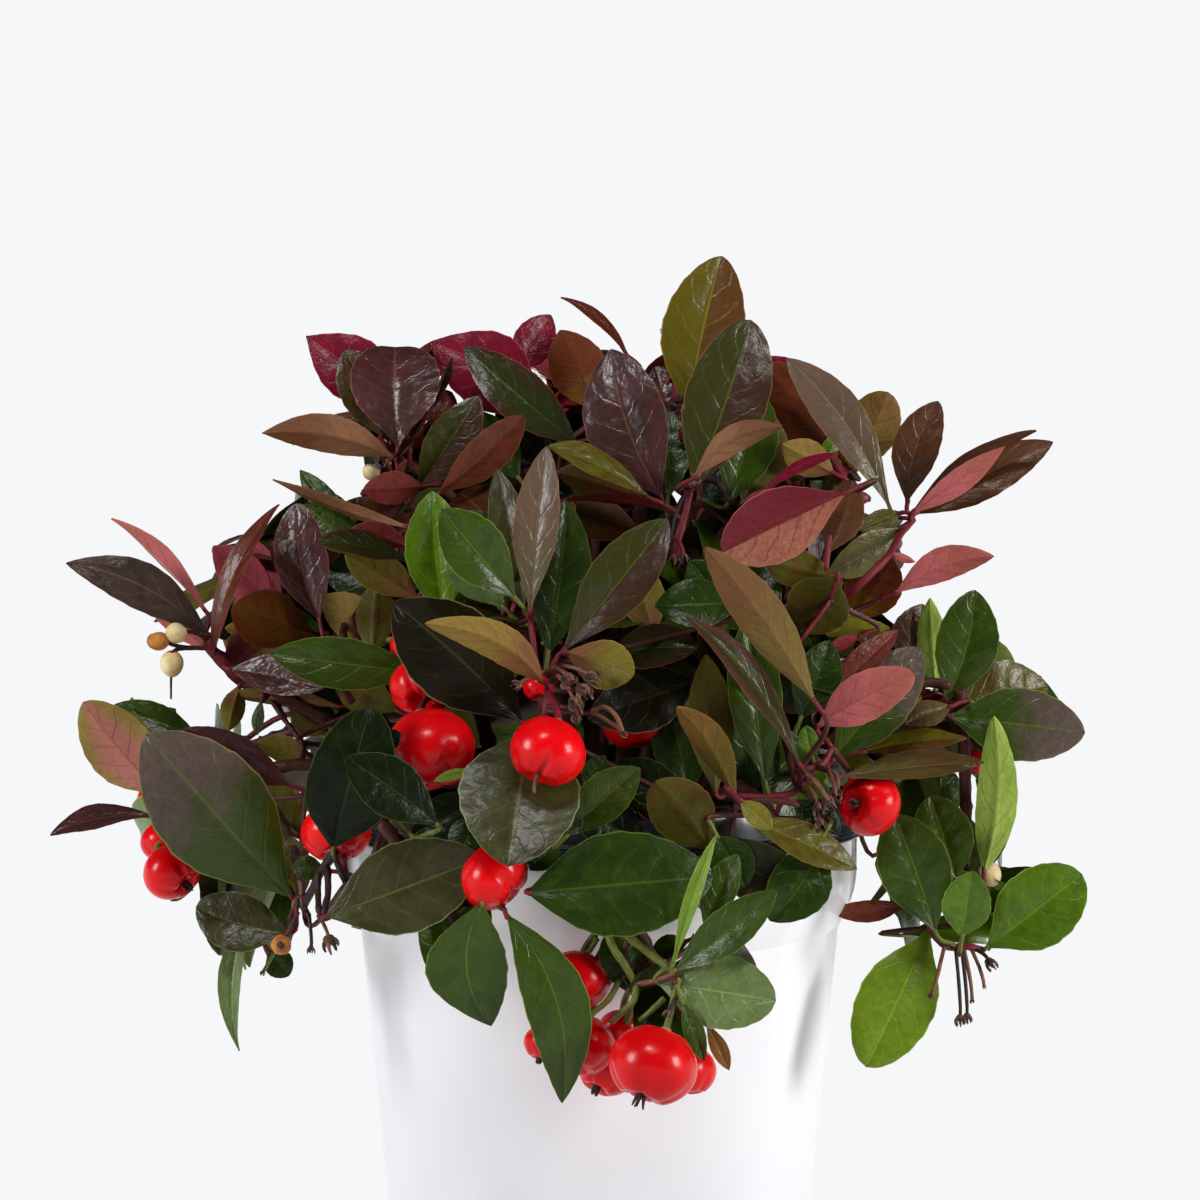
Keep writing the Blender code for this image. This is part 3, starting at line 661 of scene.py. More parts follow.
# ---- sprays that face the camera -----------------------------------------------
# A spray: mass, twig (pixel x, y and depth of each of its points, the last is
# its tip), bark, radius, then its leaves:
# base x, y, tip x, y (pixels), depth of base and tip (mm), width (pixels), roll
# (0 shows the upper side, 180 the underside, in between edge-on), tint, bend,
# fold and, where they differ, how blunt it is, how far its widest part lies
# towards the tip, and how far its midrib bows to one side.
SPRAYS = (
    ("left_arm_leaves", [(240, 678, -16), (222, 662, -17), (212, 650, -17), (206, 634, -16)], "crimson", 1.5, [
        (209, 636, 66, 563, -17, -20, 50, 18, "bp", 18, 8, 0.8, 1.05, 0.08),
        (207, 612, 112, 518, -14, -6, 34, 122, "pk", 16, 16, 0.95, 1.05, -0.03),
        (212, 652, 148, 607, -15, -13, 26, 150, "pk", 14, 12),
        (213, 654, 279, 504, -18, -16, 33, -50, "rb", 46, 14, 0.8, 0.88),
        (228, 669, 324, 688, -20, -26, 44, -14, "dp", 24, 22),
        (222, 660, 272, 640, -12, -4, 44, 180, "pk", 20, 12),
        (232, 672, 330, 632, -12, -4, 34, 150, "tn", 20, 12),
    ]),
    ("left_arm_leaves", [(262, 700, -14), (275, 650, -8), (280, 622, -4)], "crimson", 0.6, [
        (272, 604, 213, 546, -4, 0, 44, 172, "cp", 18, 10),
        (282, 600, 248, 536, -2, 4, 24, 168, "cp", 18, 10),
        (315, 634, 232, 606, -12, -26, 60, 176, "bu", 26, 10),
        (300, 640, 225, 628, -6, -4, 34, 150, "tn", 20, 10),
    ]),
    ("left_centre", [(350, 660, -22), (345, 640, -18)], "crimson", 0.7, [
        (320, 622, 296, 503, -20, -16, 58, 6, "dp", 14, 24, 0.6, 1.1, -0.06),
        (372, 660, 378, 580, -24, -20, 40, 176, "ol", 10, 12),
        (382, 640, 322, 596, -16, -12, 46, 176, "tn", 12, 10),
        (418, 628, 352, 598, -10, -8, 46, 176, "tn", 12, 10),
        (338, 672, 304, 598, 2, 6, 34, 8, "dk", 12, 12),
    ]),
    ("left_centre", [(400, 640, -26), (430, 650, -28)], "green", 0.7, [
        (430, 672, 270, 653, -30, -35, 53, -4, "mg", 26, 12),
        (412, 562, 318, 541, -26, -30, 44, 56, "gp", 24, 12),
        (420, 600, 345, 553, -22, -26, 44, 158, "yg", 18, 10),
        (412, 546, 350, 530, -24, -24, 34, 140, "mr", 16, 10),
        (405, 592, 320, 562, -10, -8, 52, 10, "dg", 18, 10),
        (365, 556, 304, 504, -12, -10, 42, 8, "mg", 16, 12),
        (400, 712, 334, 682, -26, -24, 42, 170, "ol", 14, 10),
    ]),
    ("left_centre", [(395, 560, -14), (402, 530, -12)], "brown", 0.7, [
        (408, 526, 273, 479, -18, -12, 24, 130, "bb", 18, 16, 0.9, 1.0, 0.10),
        (354, 526, 300, 470, -10, -6, 27, 22, "mg", 16, 12, 0.8, 1.1, -0.06),
        (445, 622, 432, 491, -36, -31, 66, 2, "bg", 12, 22),
    ]),
    ("crown_upper_left", [(404, 505, -8), (399, 478, -8), (397, 458, -6)], "crimson", 0.8, [
        (398, 450, 395, 347, -8, 4, 92, 0, "dp", 40, 16, 0.46, 1.3),
        (405, 405, 306, 336, 5, 8, 66, 4, "cr", 20, 12, 1.0),
        (392, 445, 344, 350, 1, 4, 60, 14, "gq", 22, 14),
        (394, 457, 262, 433, -7, -12, 44, 158, "bb", 22, 18, 0.9, 1.0, -0.06),
        (425, 486, 363, 490, -14, -18, 34, 178, "mr", -30, 16, 0.6),
        (418, 489, 480, 396, -13, -10, 54, 8, "dr", 18, 24),
        (428, 412, 452, 357, -3, -2, 30, 72, "bp", 16, 12),
        (428, 424, 452, 392, 3, 6, 40, 4, "mr", 14, 10),
        (437, 494, 524, 416, -19, -17, 43, 168, "rb", 20, 20, 0.6),
    ]),
    ("crown_top_left", [(560, 470, -2), (562, 445, 0)], "crimson", 0.8, [
        (540, 420, 430, 342, 2, 6, 78, 2, "cr", 20, 10, 0.9, 1.05, 0.08),
        (510, 376, 551, 315, 8, 13, 42, 6, "cr", 16, 12),
        (579, 446, 464, 347, -8, -4, 54, 12, "gp", 22, 14),
        (598, 415, 560, 330, 4, 8, 58, 176, "or", 18, 10),
        (628, 356, 561, 297, 8, 12, 18, 50, "rb", 30, 12, 0.8, 1.0, 0.06),
        (640, 420, 600, 350, 10, 12, 50, 4, "bp", 12, 10),
        (520, 480, 470, 410, -4, -2, 44, 10, "dg", 12, 10),
        (545, 470, 500, 400, 2, 6, 46, 8, "bk", 12, 10),
    ]),
    ("crown_top", [(672, 545, -22), (676, 520, -22), (690, 486, -22)], "dark", 0.8, [
        (662, 498, 611, 349, -10, -2, 84, -8, "dp", 34, 10, 0.76, 1.12, -0.05),
        (650, 498, 548, 446, -24, -32, 40, 48, "ol", 24, 16),
        (645, 500, 556, 472, -18, -14, 42, 146, "du", 14, 12),
        (678, 511, 560, 500, -22, -24, 40, 108, "mr", 18, 16),
        (640, 530, 560, 508, -12, -8, 44, 170, "du", 12, 10),
        (692, 490, 751, 320, -24, -16, 84, -4, "dr", 24, 14, 0.6, 1.12),
        (694, 478, 782, 427, -32, -38, 30, 166, "bb", 20, 16, 0.74, 1.0, 0.15),
        (572, 500, 545, 436, 0, 4, 26, 8, "dk", 12, 12),
    ]),
    ("crown_top", [(700, 500, -16), (700, 470, -10)], "brown", 0.8, [
        (688, 412, 722, 256, 4, 10, 82, 2, "yo", 14, 10, 0.62),
        (684, 440, 655, 366, 2, 8, 50, 6, "dp", 14, 12),
        (728, 505, 764, 395, -15, -10, 60, 4, "mg", 16, 16),
        (742, 508, 776, 418, -16, -12, 54, 176, "ol", 14, 12),
        (668, 500, 668, 410, -4, 2, 44, 8, "mg", 12, 14),
        (700, 512, 738, 444, -2, 4, 34, 4, "dk", 12, 12),
    ]),
    ("crown_upper_right", [(840, 520, -10), (838, 500, -12), (846, 470, -8)], "crimson", 0.8, [
        (848, 466, 760, 362, -2, 2, 66, 174, "rb", 24, 14),
        (830, 400, 766, 357, 6, 8, 30, 12, "cr", 14, 12),
        (850, 480, 888, 392, 8, 12, 54, 176, "yo", 12, 10, 0.5, 1.4),
        (835, 474, 782, 444, -16, -18, 38, 172, "tn", 14, 10),
        (826, 556, 852, 480, -28, -24, 44, 176, "db", 16, 14, 0.62),
        (763, 491, 838, 453, -38, -34, 26, -62, "cr", 24, 16),
        (860, 520, 812, 452, -8, -4, 42, 6, "mg", 12, 12),
        (848, 492, 722, 553, -48, -53, 74, 176, "ct", 22, 14, 0.6),
        (820, 480, 858, 432, -4, 2, 40, 5, "bg", 12, 12),
    ]),
    ("right_arm_leaves", [(838, 602, -24), (862, 582, -27), (888, 556, -24), (901, 534, -16), (913, 520, -10)], "crimson", 1.0, [
        (892, 514, 787, 358, -9, -5, 50, 18, "gb", 22, 14, 0.74, 1.35, 0.05),
        (907, 504, 938, 401, -6, -4, 47, 2, "db", 12, 12, 0.64, 1.12, -0.075),
        (912, 512, 1036, 430, -9, -13, 40, -118, "db", 16, 22),
        (912, 513, 1005, 446, -12, -17, 25, 176, "pk", 10, 10, 0.9, 1.0),
        (915, 514, 1053, 442, -7, -6, 50, -10, "db", 14, 14, 0.74, 0.95),
        (895, 594, 994, 556, -11, -14, 38, -158, "pk", 16, 16, 0.74, 1.1, 0.08),
        (905, 526, 828, 574, -14, -20, 42, -26, "ol", 18, 12),
        (850, 624, 893, 558, 0, -2, 58, 178, "or", 12, 10, 0.6),
        (889, 553, 915, 562, -2, 0, 9, 170, "pk", 12, 12),
        (903, 512, 858, 530, -10, -12, 22, 20, "ol", 12, 12),
    ]),
    ("front_centre", [(540, 690, -50), (533, 640, -50), (530, 618, -48)], "crimson", 0.8, [
        (530, 612, 547, 446, -50, -47, 48, -8, "gb", 14, 20),
        (524, 610, 497, 469, -45, -38, 42, -14, "gg", 14, 14),
        (517, 600, 441, 509, -50, -52, 62, 8, "mg", 20, 12),
        (548, 655, 566, 500, -44, -38, 62, 4, "dg", 14, 14),
        (505, 608, 446, 540, -44, -42, 50, 8, "gl", 14, 12),
    ]),
    ("front_centre", [(545, 715, -58), (548, 690, -56), (554, 664, -53)], "crimson", 0.9, [
        (562, 652, 668, 519, -53, -50, 66, -10, "dr", 22, 18),
        (543, 682, 425, 623, -58, -64, 42, 158, "tn", -24, 14, 0.62, 0.85, -0.14),
        (565, 652, 634, 675, -54, -62, 52, 176, "yg", 24, 16),
        (524, 724, 393, 602, -48, -57, 98, 2, "bk", 14, 10),
        (698, 682, 588, 718, -42, -52, 66, -2, "bk", 20, 10),
        (602, 656, 698, 648, -40, -46, 62, -42, "gp", 36, 12),
        (655, 640, 630, 560, -36, -32, 46, 174, "yg", 14, 12),
        (745, 604, 655, 606, -44, -46, 54, 26, "dg", 20, 14),
    ]),
    ("front_centre", [(530, 740, -56)], "brown", 0.8, [
        (530, 732, 508, 866, -60, -76, 122, 2, "gg", 14, 7, 0.6, 0.95),
        (473, 770, 434, 781, -63, -66, 12, 20, "lm", 10, 10),
        (478, 812, 460, 858, -63, -67, 38, 8, "dg", 14, 12, 0.6),
        (565, 838, 640, 768, -61, -62, 50, -8, "mg", 18, 18),
        (585, 792, 604, 755, -54, -54, 26, 4, "dg", 10, 12),
        (640, 816, 590, 768, -44, -48, 54, 6, "dg", 14, 12),
        (560, 842, 530, 870, -60, -64, 30, 8, "mg", 10, 10),
        # a near-black leaf put over the white pot rim where there is deep shade: it stands in for that shade (painted
        # shade)
        (486, 798, 412, 834, -57, -60, 46, 8, "dk", 14, 12),
        (652, 850, 574, 808, -58, -61, 54, 8, "dk", 14, 12),
        (694, 806, 612, 764, -50, -48, 46, 8, "dk", 12, 12),
    ]),
    ("right_centre", [(737, 797, -52), (770, 797, -52), (798, 790, -50), (802, 768, -50)], "crimson", 1.0, [
        (815, 702, 705, 547, -58, -61, 52, 164, "gq", 22, 14),
        (800, 765, 686, 616, -54, -60, 50, 56, "pc", 30, 14),
        (766, 784, 748, 616, -50, -46, 56, 4, "mg", 16, 16),
        (737, 800, 677, 706, -58, -64, 44, 146, "yo", 34, 20),
        (716, 796, 706, 654, -52, -46, 48, 172, "ol", 14, 14),
        (748, 804, 738, 676, -40, -38, 56, 4, "dg", 14, 14),
        (812, 756, 806, 726, -44, -46, 20, 4, "bg", 8, 10, 0.5),
        (690, 800, 668, 700, -44, -42, 56, 8, "dg", 14, 14),
        (712, 851, 655, 781, -58, -65, 64, 174, "ol", 18, 10, 0.6),
        (780, 700, 790, 620, -34, -30, 56, 6, "dg", 14, 14),
    ]),
    ("right_centre", [(800, 640, -36), (830, 600, -34)], "crimson", 0.8, [
        (838, 574, 800, 632, -36, -31, 64, 176, "ol", 14, 10, 0.55),
        (838, 578, 764, 560, -30, -32, 40, 172, "ol", 14, 12),
        (815, 634, 890, 628, -26, -24, 36, -50, "yg", 16, 12),
        (862, 636, 826, 650, -28, -30, 16, 150, "cr", 10, 12),
        (745, 640, 690, 560, -30, -28, 56, 8, "dg", 14, 14),
    ]),
    ("right_cluster", [(803, 770, -46), (822, 764, -44), (832, 748, -42)], "crimson", 0.9, [
        (818, 726, 914, 674, -41, -44, 49, 178, "pk", -14, 8, 0.5, 1.0, 0.03),
        (832, 762, 920, 648, -33, -30, 66, -6, "gt", 18, 10, 0.6),
        (826, 700, 898, 630, -31, -29, 34, -30, "mr", 16, 16),
        (836, 778, 984, 762, -40, -34, 44, -48, "gq", 18, 12),
        (862, 752, 967, 738, -30, -27, 40, -54, "yo", 16, 12),
        (800, 720, 830, 640, -36, -34, 50, 6, "dg", 14, 14),
    ]),
    ("right_cluster", [(955, 712, -12), (962, 708, -10)], "crimson", 0.8, [
        (946, 702, 975, 590, -12, -10, 64, 2, "mg", 14, 14, 0.65, 1.1, 0.05),
        (937, 696, 930, 598, -5, -3, 30, 176, "lm", 12, 12),
        (903, 666, 923, 604, -3, 0, 48, 8, "db", 12, 12),
        (952, 708, 1048, 686, -4, 2, 68, -10, "ol", 18, 12),
        (948, 716, 1085, 733, -16, -19, 74, -6, "gt", 20, 8, 0.6, 1.1, 0.0),
        (952, 706, 905, 724, -22, -26, 30, 22, "gq", 12, 14),
        (890, 842, 956, 774, -14, -10, 66, -4, "mg", 16, 12, 0.6),
    ]),
    ("front_right_low", [(748, 815, -58), (760, 822, -60)], "brown", 0.8, [
        (748, 820, 857, 869, -61, -58, 46, -36, "ol", 18, 12),
        (822, 838, 770, 921, -58, -62, 63, 2, "dg", 18, 14, 0.62, 1.1, -0.07),
        (739, 799, 772, 829, -66, -68, 24, -10, "yg", 14, 12),
        (716, 834, 746, 886, -60, -60, 46, 4, "dg", 14, 12, 0.6),
        (704, 930, 738, 854, -66, -64, 38, -8, "mg", 14, 20),
        (792, 800, 840, 836, -56, -56, 40, -20, "dk", 14, 12),
    ]),
    ("front_low", [(560, 880, -66), (530, 890, -70)], "green", 0.8, [
        (527, 893, 713, 877, -72, -67, 106, -8, "dg", 24, 6, 0.62, 0.96),
        (622, 920, 600, 850, -60, -58, 60, 5, "dg", 14, 12),
        (700, 906, 655, 860, -58, -56, 60, 5, "dg", 14, 12),
    ]),
    ("hanging_front_right", [(606, 915, -66), (630, 938, -68), (652, 955, -70), (670, 970, -71)], "green", 1.1, [
        (672, 968, 716, 835, -72, -74, 18, -20, "lm", 16, 20),
        (673, 972, 777, 891, -72, -75, 46, -10, "mg", 18, 14),
        (656, 982, 776, 1001, -70, -76, 76, -4, "gl", 16, 8, 0.52),
        (682, 1000, 704, 1061, -74, -76, 22, 6, "mg", 14, 14),
        (706, 1022, 729, 1070, -71, -70, 18, 10, "or", 12, 12),
        (668, 965, 630, 986, -67, -69, 18, -20, "dg", 10, 10),
        (690, 940, 652, 952, -62, -60, 26, 10, "mg", 10, 10),
    ]),
    ("hanging_front_right", [(608, 920, -63), (616, 925, -63)], "green", 0.7, [
        (612, 918, 640, 992, -62, -66, 54, 6, "dg", 16, 10, 0.55),
    ]),
    ("hanging_front_left", [(485, 895, -66), (503, 908, -68)], "green", 1.0, [
        (482, 902, 491, 1026, -70, -66, 84, 4, "mg", 16, 12, 0.85, 1.0, 0.15),
        (506, 914, 562, 1103, -70, -71, 66, 2, "mg", 16, 12, 0.8, 1.0, -0.12),
        (490, 905, 345, 919, -66, -60, 40, 62, "mg", 18, 12),
        (430, 920, 352, 922, -58, -56, 34, 58, "dg", 14, 12),
    ]),
    ("front_left_low", [(345, 905, -60), (325, 918, -62), (318, 915, -62)], "brown", 0.9, [
        (324, 917, 482, 858, -64, -67, 92, -4, "gg", 18, 8, 0.62),
    ]),
    ("front_left_low", [(420, 838, -64), (438, 830, -67)], "green", 0.8, [
        (440, 826, 345, 757, -69, -71, 60, 8, "dk", 20, 12),
    ]),
    ("front_left_low", [(345, 880, -56), (334, 856, -56)], "dark", 0.9, [
        (333, 849, 370, 708, -56, -63, 88, 6, "dk", 58, 14, 0.5),
        (372, 752, 401, 733, -60, -64, 24, -10, "dk", 30, 12, 0.55),
        (327, 871, 292, 866, -40, -40, 26, 10, "dg", 12, 12),
        (302, 902, 291, 836, -36, -32, 30, 8, "ol", 12, 10),
    ]),
    ("left_low", [(300, 880, -38), (302, 900, -38), (297, 906, -38)], "dark", 1.0, [
        (292, 898, 146, 734, -38, -46, 116, 2, "gt", 16, 5, 0.66),
        (290, 934, 196, 907, -38, -34, 62, 12, "gg", 16, 16, 0.55, 1.1, -0.05),
    ]),
    ("left_low", [(250, 800, -26), (235, 808, -22), (170, 806, -20)], "brown", 0.8, [
        (162, 797, 83, 702, -25, -21, 66, 177, "pt", 14, 8, 0.62),
        (205, 742, 112, 706, -14, -12, 36, 14, "mg", 16, 14),
        (292, 786, 177, 733, -32, -36, 50, 14, "dp", 26, 18, 0.62),
        (302, 836, 230, 768, -24, -22, 60, 176, "ol", 16, 10, 0.6),
        (156, 816, 50, 835, -22, -20, 42, 56, "dp", 40, 14),
        (310, 800, 250, 838, -20, -18, 44, 170, "ol", 12, 10),
    ]),
    ("left_low", [(300, 740, -14), (285, 720, -12)], "brown", 0.7, [
        (340, 706, 226, 695, -12, -10, 30, 132, "tn", 14, 14),
        (240, 684, 228, 731, -10, -12, 26, 170, "yg", 14, 14),
        (262, 698, 257, 735, -6, -8, 16, 40, "mg", 10, 14),
        (318, 764, 258, 742, -10, -8, 34, 150, "yg", 14, 14),
        (330, 735, 290, 706, -8, -6, 34, 168, "ol", 14, 12),
    ]),
    ("hanging_left", [(292, 915, -36), (284, 930, -34)], "brown", 0.8, [
        (244, 926, 239, 1051, -33, -38, 31, 26, "gl", 24, 30, 1.0, 0.8, 0.06),
        (268, 950, 289, 976, -28, -29, 30, 4, "dg", 10, 12, 0.6),
    ]),
    ("hanging_right", [(925, 905, -20), (935, 935, -26), (950, 947, -30), (964, 946, -32), (984, 950, -31)], "crimson", 1.0, [
        (936, 934, 894, 815, -34, -32, 74, 4, "mg", 16, 14, 0.6),
        (957, 882, 930, 796, -30, -27, 62, 4, "mg", 14, 14, 0.6),
        (984, 872, 994, 716, -24, -19, 42, 176, "lm", 12, 12, 0.62, 0.85, -0.05),
        (962, 938, 973, 871, -38, -42, 50, 3, "bg", 14, 12, 0.6),
        (985, 949, 1082, 874, -32, -35, 80, -4, "bg", 18, 10, 0.5),
        (930, 928, 866, 1067, -24, -32, 80, 2, "lm", 18, 10, 0.55),
        (906, 904, 825, 911, -12, -15, 26, 26, "mr", 16, 14, 0.9, 1.0, -0.08),
    ]),
)

GROUPS = {      # masses whose leaves are joined
    "leaves_top": ("crown_top", "crown_top_left", "crown_upper_left", "crown_upper_right", "right_arm_leaves"),
    "leaves_left": ("left_arm_leaves", "left_centre", "left_low", "hanging_left", "front_left_low"),
    "leaves_front": ("front_centre", "front_low", "hanging_front_left", "hanging_front_right"),
    "leaves_right": ("right_centre", "right_cluster", "front_right_low", "hanging_right"),
    "leaves_back": ("back_top", "back_left", "back_right", "back_inner", "back_centre"),
    "leaves_back_low": ("back_left_low", "back_right_low", "back_low", "hanging_back"),
}
GROUP_OF = {m: g for g, ms in GROUPS.items() for m in ms}
pieces = {g: Piece(g) for g in GROUPS}
twigs = Piece("twigs")
stems = Piece("stems")

for k, (name, (pts, radii)) in enumerate(limbs.items()):
    tube(stems, "brown", pts, radii, sides=10, relief=0.05, knots=0.22, seed=k)
foot_z = GROUND + 0.1
turns = np.linspace(0, 2 * np.pi, 28, endpoint=False)
rows = []
for t in np.linspace(0, 1, 12):
    r = 4.0 + (2.8 - 4.0) * t + 2.2 * (1 - t) ** 3
    wob = 1 + 0.16 * (1 - t) ** 2 * np.cos(5 * turns + 0.6) + 0.03 * np.sin(9 * turns + 7 * t)
    rows.append(np.stack([r * wob * np.cos(turns), r * wob * np.sin(turns), np.full(28, foot_z + 11 * t)], 1))
rows.append(np.stack([0.3 * np.cos(turns), 0.3 * np.sin(turns), np.full(28, foot_z + 12.2)], 1))
crown = np.stack(rows)
uv = np.stack(np.broadcast_arrays((1.06 + 0.88 * np.arange(28) / 28)[None, :] / 5, np.linspace(0.1, 0.5, len(rows))[:, None]), -1)
stems.grid(crown, uv, 101, close=True)

anchors = {m: [] for m in MASSES}     # points that twigs can spring from
for m in MASSES:
    for name in BY_MASS[m]:
        pts = limbs[name][0]
        anchors[m].append(pts[len(pts) // 2:])


def spring_from(mass, p):
    """The nearest point to p on what already grows in a mass."""
    pool = np.concatenate(anchors[mass])
    d = np.linalg.norm(pool - p, axis=1) + np.maximum(0, pool[:, 2] - p[2]) * 0.3
    return pool[int(np.argmin(d))]


CELL = 4
SIZE = 1200 // CELL
front = np.full((SIZE, SIZE), 1e6)     # nearest placed leaf at each cell, by y


def mark(points):
    """Enter a leaf's surface in the map of what the camera already sees."""
    p = points.reshape(-1, 3)
    q = seen(p)
    for dx, dy in ((0, 0), (2.5, 0), (-2.5, 0), (0, 2.5), (0, -2.5)):
        i = ((q[:, 1] + dy) / CELL).astype(int).clip(0, SIZE - 1)
        j = ((q[:, 0] + dx) / CELL).astype(int).clip(0, SIZE - 1)
        np.minimum.at(front, (i, j), p[:, 1])


nodes = []       # (mass, point, direction): where sprays end, for berries and buds
hero_leaves = 0
for index, (mass, twig, bark, radius, rows) in enumerate(SPRAYS):
    points = [at(*p) for p in twig]
    start = spring_from(mass, points[0])
    way = unit(points[1] - points[0]) if len(points) > 1 else unit(points[0] - start)
    gap = np.linalg.norm(start - points[0])
    shown_part = through(points, 6) if len(points) > 1 else np.array([points[0] - way * 1.5, points[0]])
    lead = bezier(start, start + (points[0] - start) * 0.3 + V(0, 0.30, -0.06) * gap,
                  points[0] - way * 0.3 * gap + V(0, 0.18, -0.04) * gap, points[0], 14)
    tube(twigs, "brown" if bark == "crimson" else bark, lead, [radius * 0.85, radius * 0.80], sides=8, relief=0.05, knots=0.2, seed=200 + index)
    tube(twigs, bark, shown_part, [radius * 0.82, radius * 0.64], sides=8, relief=0.05, knots=0.2, seed=200 + index)
    line = np.concatenate([lead[:-1], shown_part])
    anchors[mass].append(line[len(line) // 3:])
    nodes.append((mass, points[-1], unit(line[-1] - line[max(0, len(line) - 4)])))
    for number, row in enumerate(rows):
        bx, by, tx, ty, yb, yt, width, roll, tint, bend, fold = row[:11]
        blunt = row[11] if len(row) > 11 else 0.74
        base, tip = at(bx, by, yb), at(tx, ty, yt)
        middle = (base + tip) / 2
        y = unit(tip - base)
        toward = unit(EYE - middle)
        n0 = unit(toward - y * (toward @ y))
        cw = np.cross(y, n0)
        a = math.radians(roll)
        normal = n0 * math.cos(a) + cw * math.sin(a)
        wide = width * (middle[1] - EYE[1]) / FOCAL
        r = np.random.default_rng(5000 + 97 * index + number)
        top, low, uv = leaf_grid(
            base, tip, normal, wide, bend, fold, wave=r.uniform(0.02, 0.07), twist=r.uniform(-14, 14),
            side=row[13] if len(row) > 13 else r.uniform(-0.02, 0.02),
            obovate=row[12] if len(row) > 12 else r.uniform(1.02, 1.22), blunt=blunt,
            curl=r.uniform(0.06, 0.16), phase=r.uniform(0, 6.28))
        put_leaf(pieces[GROUP_OF[mass]], tint, top, low, uv)
        mark(top)
        hero_leaves += 1
        near = line[int(np.argmin(np.linalg.norm(line - base, axis=1)))]
        gap = np.linalg.norm(near - base)
        if gap > 11:                     # a side twig of its own
            other = spring_from(mass, base)
            if np.linalg.norm(other - base) < gap:
                near, gap = other, np.linalg.norm(other - base)
        green = tint in ("mg", "bg", "lm", "gl", "dk", "dg") and r.random() < 0.6
        if gap > 6:                      # a thin brown side twig that comes from behind
            joint = base - y * 3.0
            side = bezier(near, near + (joint - near) * 0.35 + V(0, 0.25, -0.05) * gap, joint - y * 0.25 * gap, joint, 10)
            tube(twigs, "brown", side, [0.58, 0.46], sides=6, relief=0.04, seed=number)
            near, gap = joint, 3.0
        stalk = bezier(near, near + (base - near) * 0.4 + V(0, 0, 0.12 * gap), base - y * min(3.0, 0.4 * gap + 0.4), base + y * 0.9, 7)
        tube(twigs, "green" if green else "crimson", stalk, [0.50, 0.44], sides=6, relief=0.03, seed=number)


def grown(mask, n):
    for _ in range(n):
        m = mask.copy()
        m[1:] |= mask[:-1]
        m[:-1] |= mask[1:]
        m[:, 1:] |= mask[:, :-1]
        m[:, :-1] |= mask[:, 1:]
        if _ % 2:
            m[1:, 1:] |= mask[:-1, :-1]
            m[:-1, :-1] |= mask[1:, 1:]
            m[1:, :-1] |= mask[:-1, 1:]
            m[:-1, 1:] |= mask[1:, :-1]
        mask = m
    return mask


# pixel, radius in pixels, depth, the way its open end points, where its stalk
# comes from (pixel and depth), the scraps at its open end, and then for some
# how tall it is and where it has a deeper cleft
BERRIES = (
    (547, 751, 37, -70, (-0.34, -0.36, -0.87), (547, 690, -56), "style", 0.98, (0.12, -1, 0.2), 0.24),
    (430, 750, 45, -54, (0.25, -0.3, -0.9), (440, 690, -44), False, 0.98, (0.5, -1, 0), 0.06),
    (422, 686, 31, -44, (0, -0.8, -0.5), (440, 650, -36), False),
    (412, 646, 22, -30, (0, -0.6, -0.8), (430, 620, -26), False),
    (494, 876, 36, -65, (0.72, -0.22, -0.62), (482, 836, -58), False, 0.94, (0.2, -1, 0.2), 0.16),
    (635, 722, 31, -41, (0.2, -0.3, -0.9), (622, 692, -38), False),
    (337, 832, 34, -46, (0.1, -0.6, -0.8), (345, 870, -48), False),
    (538, 688, 15, -50, (0, -0.6, -0.8), (540, 672, -46), False),
    (166, 842, 24, -23, (0.1, -0.5, -0.8), (170, 812, -20), False),
    (172, 872, 30, -32, (0.6, -0.45, -0.45), (178, 822, -22), True, 0.92, (0.2, -0.8, 0.5), 0.08),
    (869, 803, 32, -36, (-0.55, -0.72, 0.1), (850, 770, -34), True),
    (970, 762, 15, -12, (0, -0.5, -0.8), (962, 735, -10), False),
    (653, 1065, 45, -76, (-0.35, -0.30, -0.88), (679, 978, -72), True, 0.93),
    (582, 1045, 34, -62, (-0.15, -0.5, -0.8), (614, 976, -64), False),
    (606, 1070, 29, -54, (-0.4, -0.4, -0.7), (640, 985, -62), True),
    (687, 1071, 30, -61, (0.1, -0.3, -0.9), (674, 984, -66), False),
    (576, 980, 33, -62, (-0.2, -0.5, -0.8), (606, 925, -62), False),
    (545, 1044, 21, -54, (-0.3, -0.3, -0.8), (575, 1000, -57), True),
    (621, 1028, 21, -52, (-0.1, -0.4, -0.9), (632, 985, -60), False),
)
BALLS = [(at(b[0], b[1], b[3]), b[2] * (b[3] - EYE[1]) / FOCAL) for b in BERRIES]
BALLS = [(at(b[0], b[1], b[3]), b[2] * (b[3] - EYE[1]) / FOCAL) for b in BERRIES]
for ball, rad in BALLS:
    mark(ball + rad * np.array([V(a * math.cos(w), -math.sqrt(1 - a * a), a * math.sin(w)) for a in np.linspace(0, 1, 12) for w in np.arange(60) * math.tau / 60]))
shown = front < 1e5
closed = ~grown(~grown(shown, 3), 3)
outside = np.zeros_like(closed)        # flood from the frame, to find what lies inside the crown
outside[0] = outside[-1] = outside[:, 0] = outside[:, -1] = True
while True:
    more = grown(outside, 1) & ~closed
    if (more & ~outside).sum() == 0:
        break
    outside |= more
inside = ~closed & ~outside
inside[830 // CELL:] = False
closed |= inside
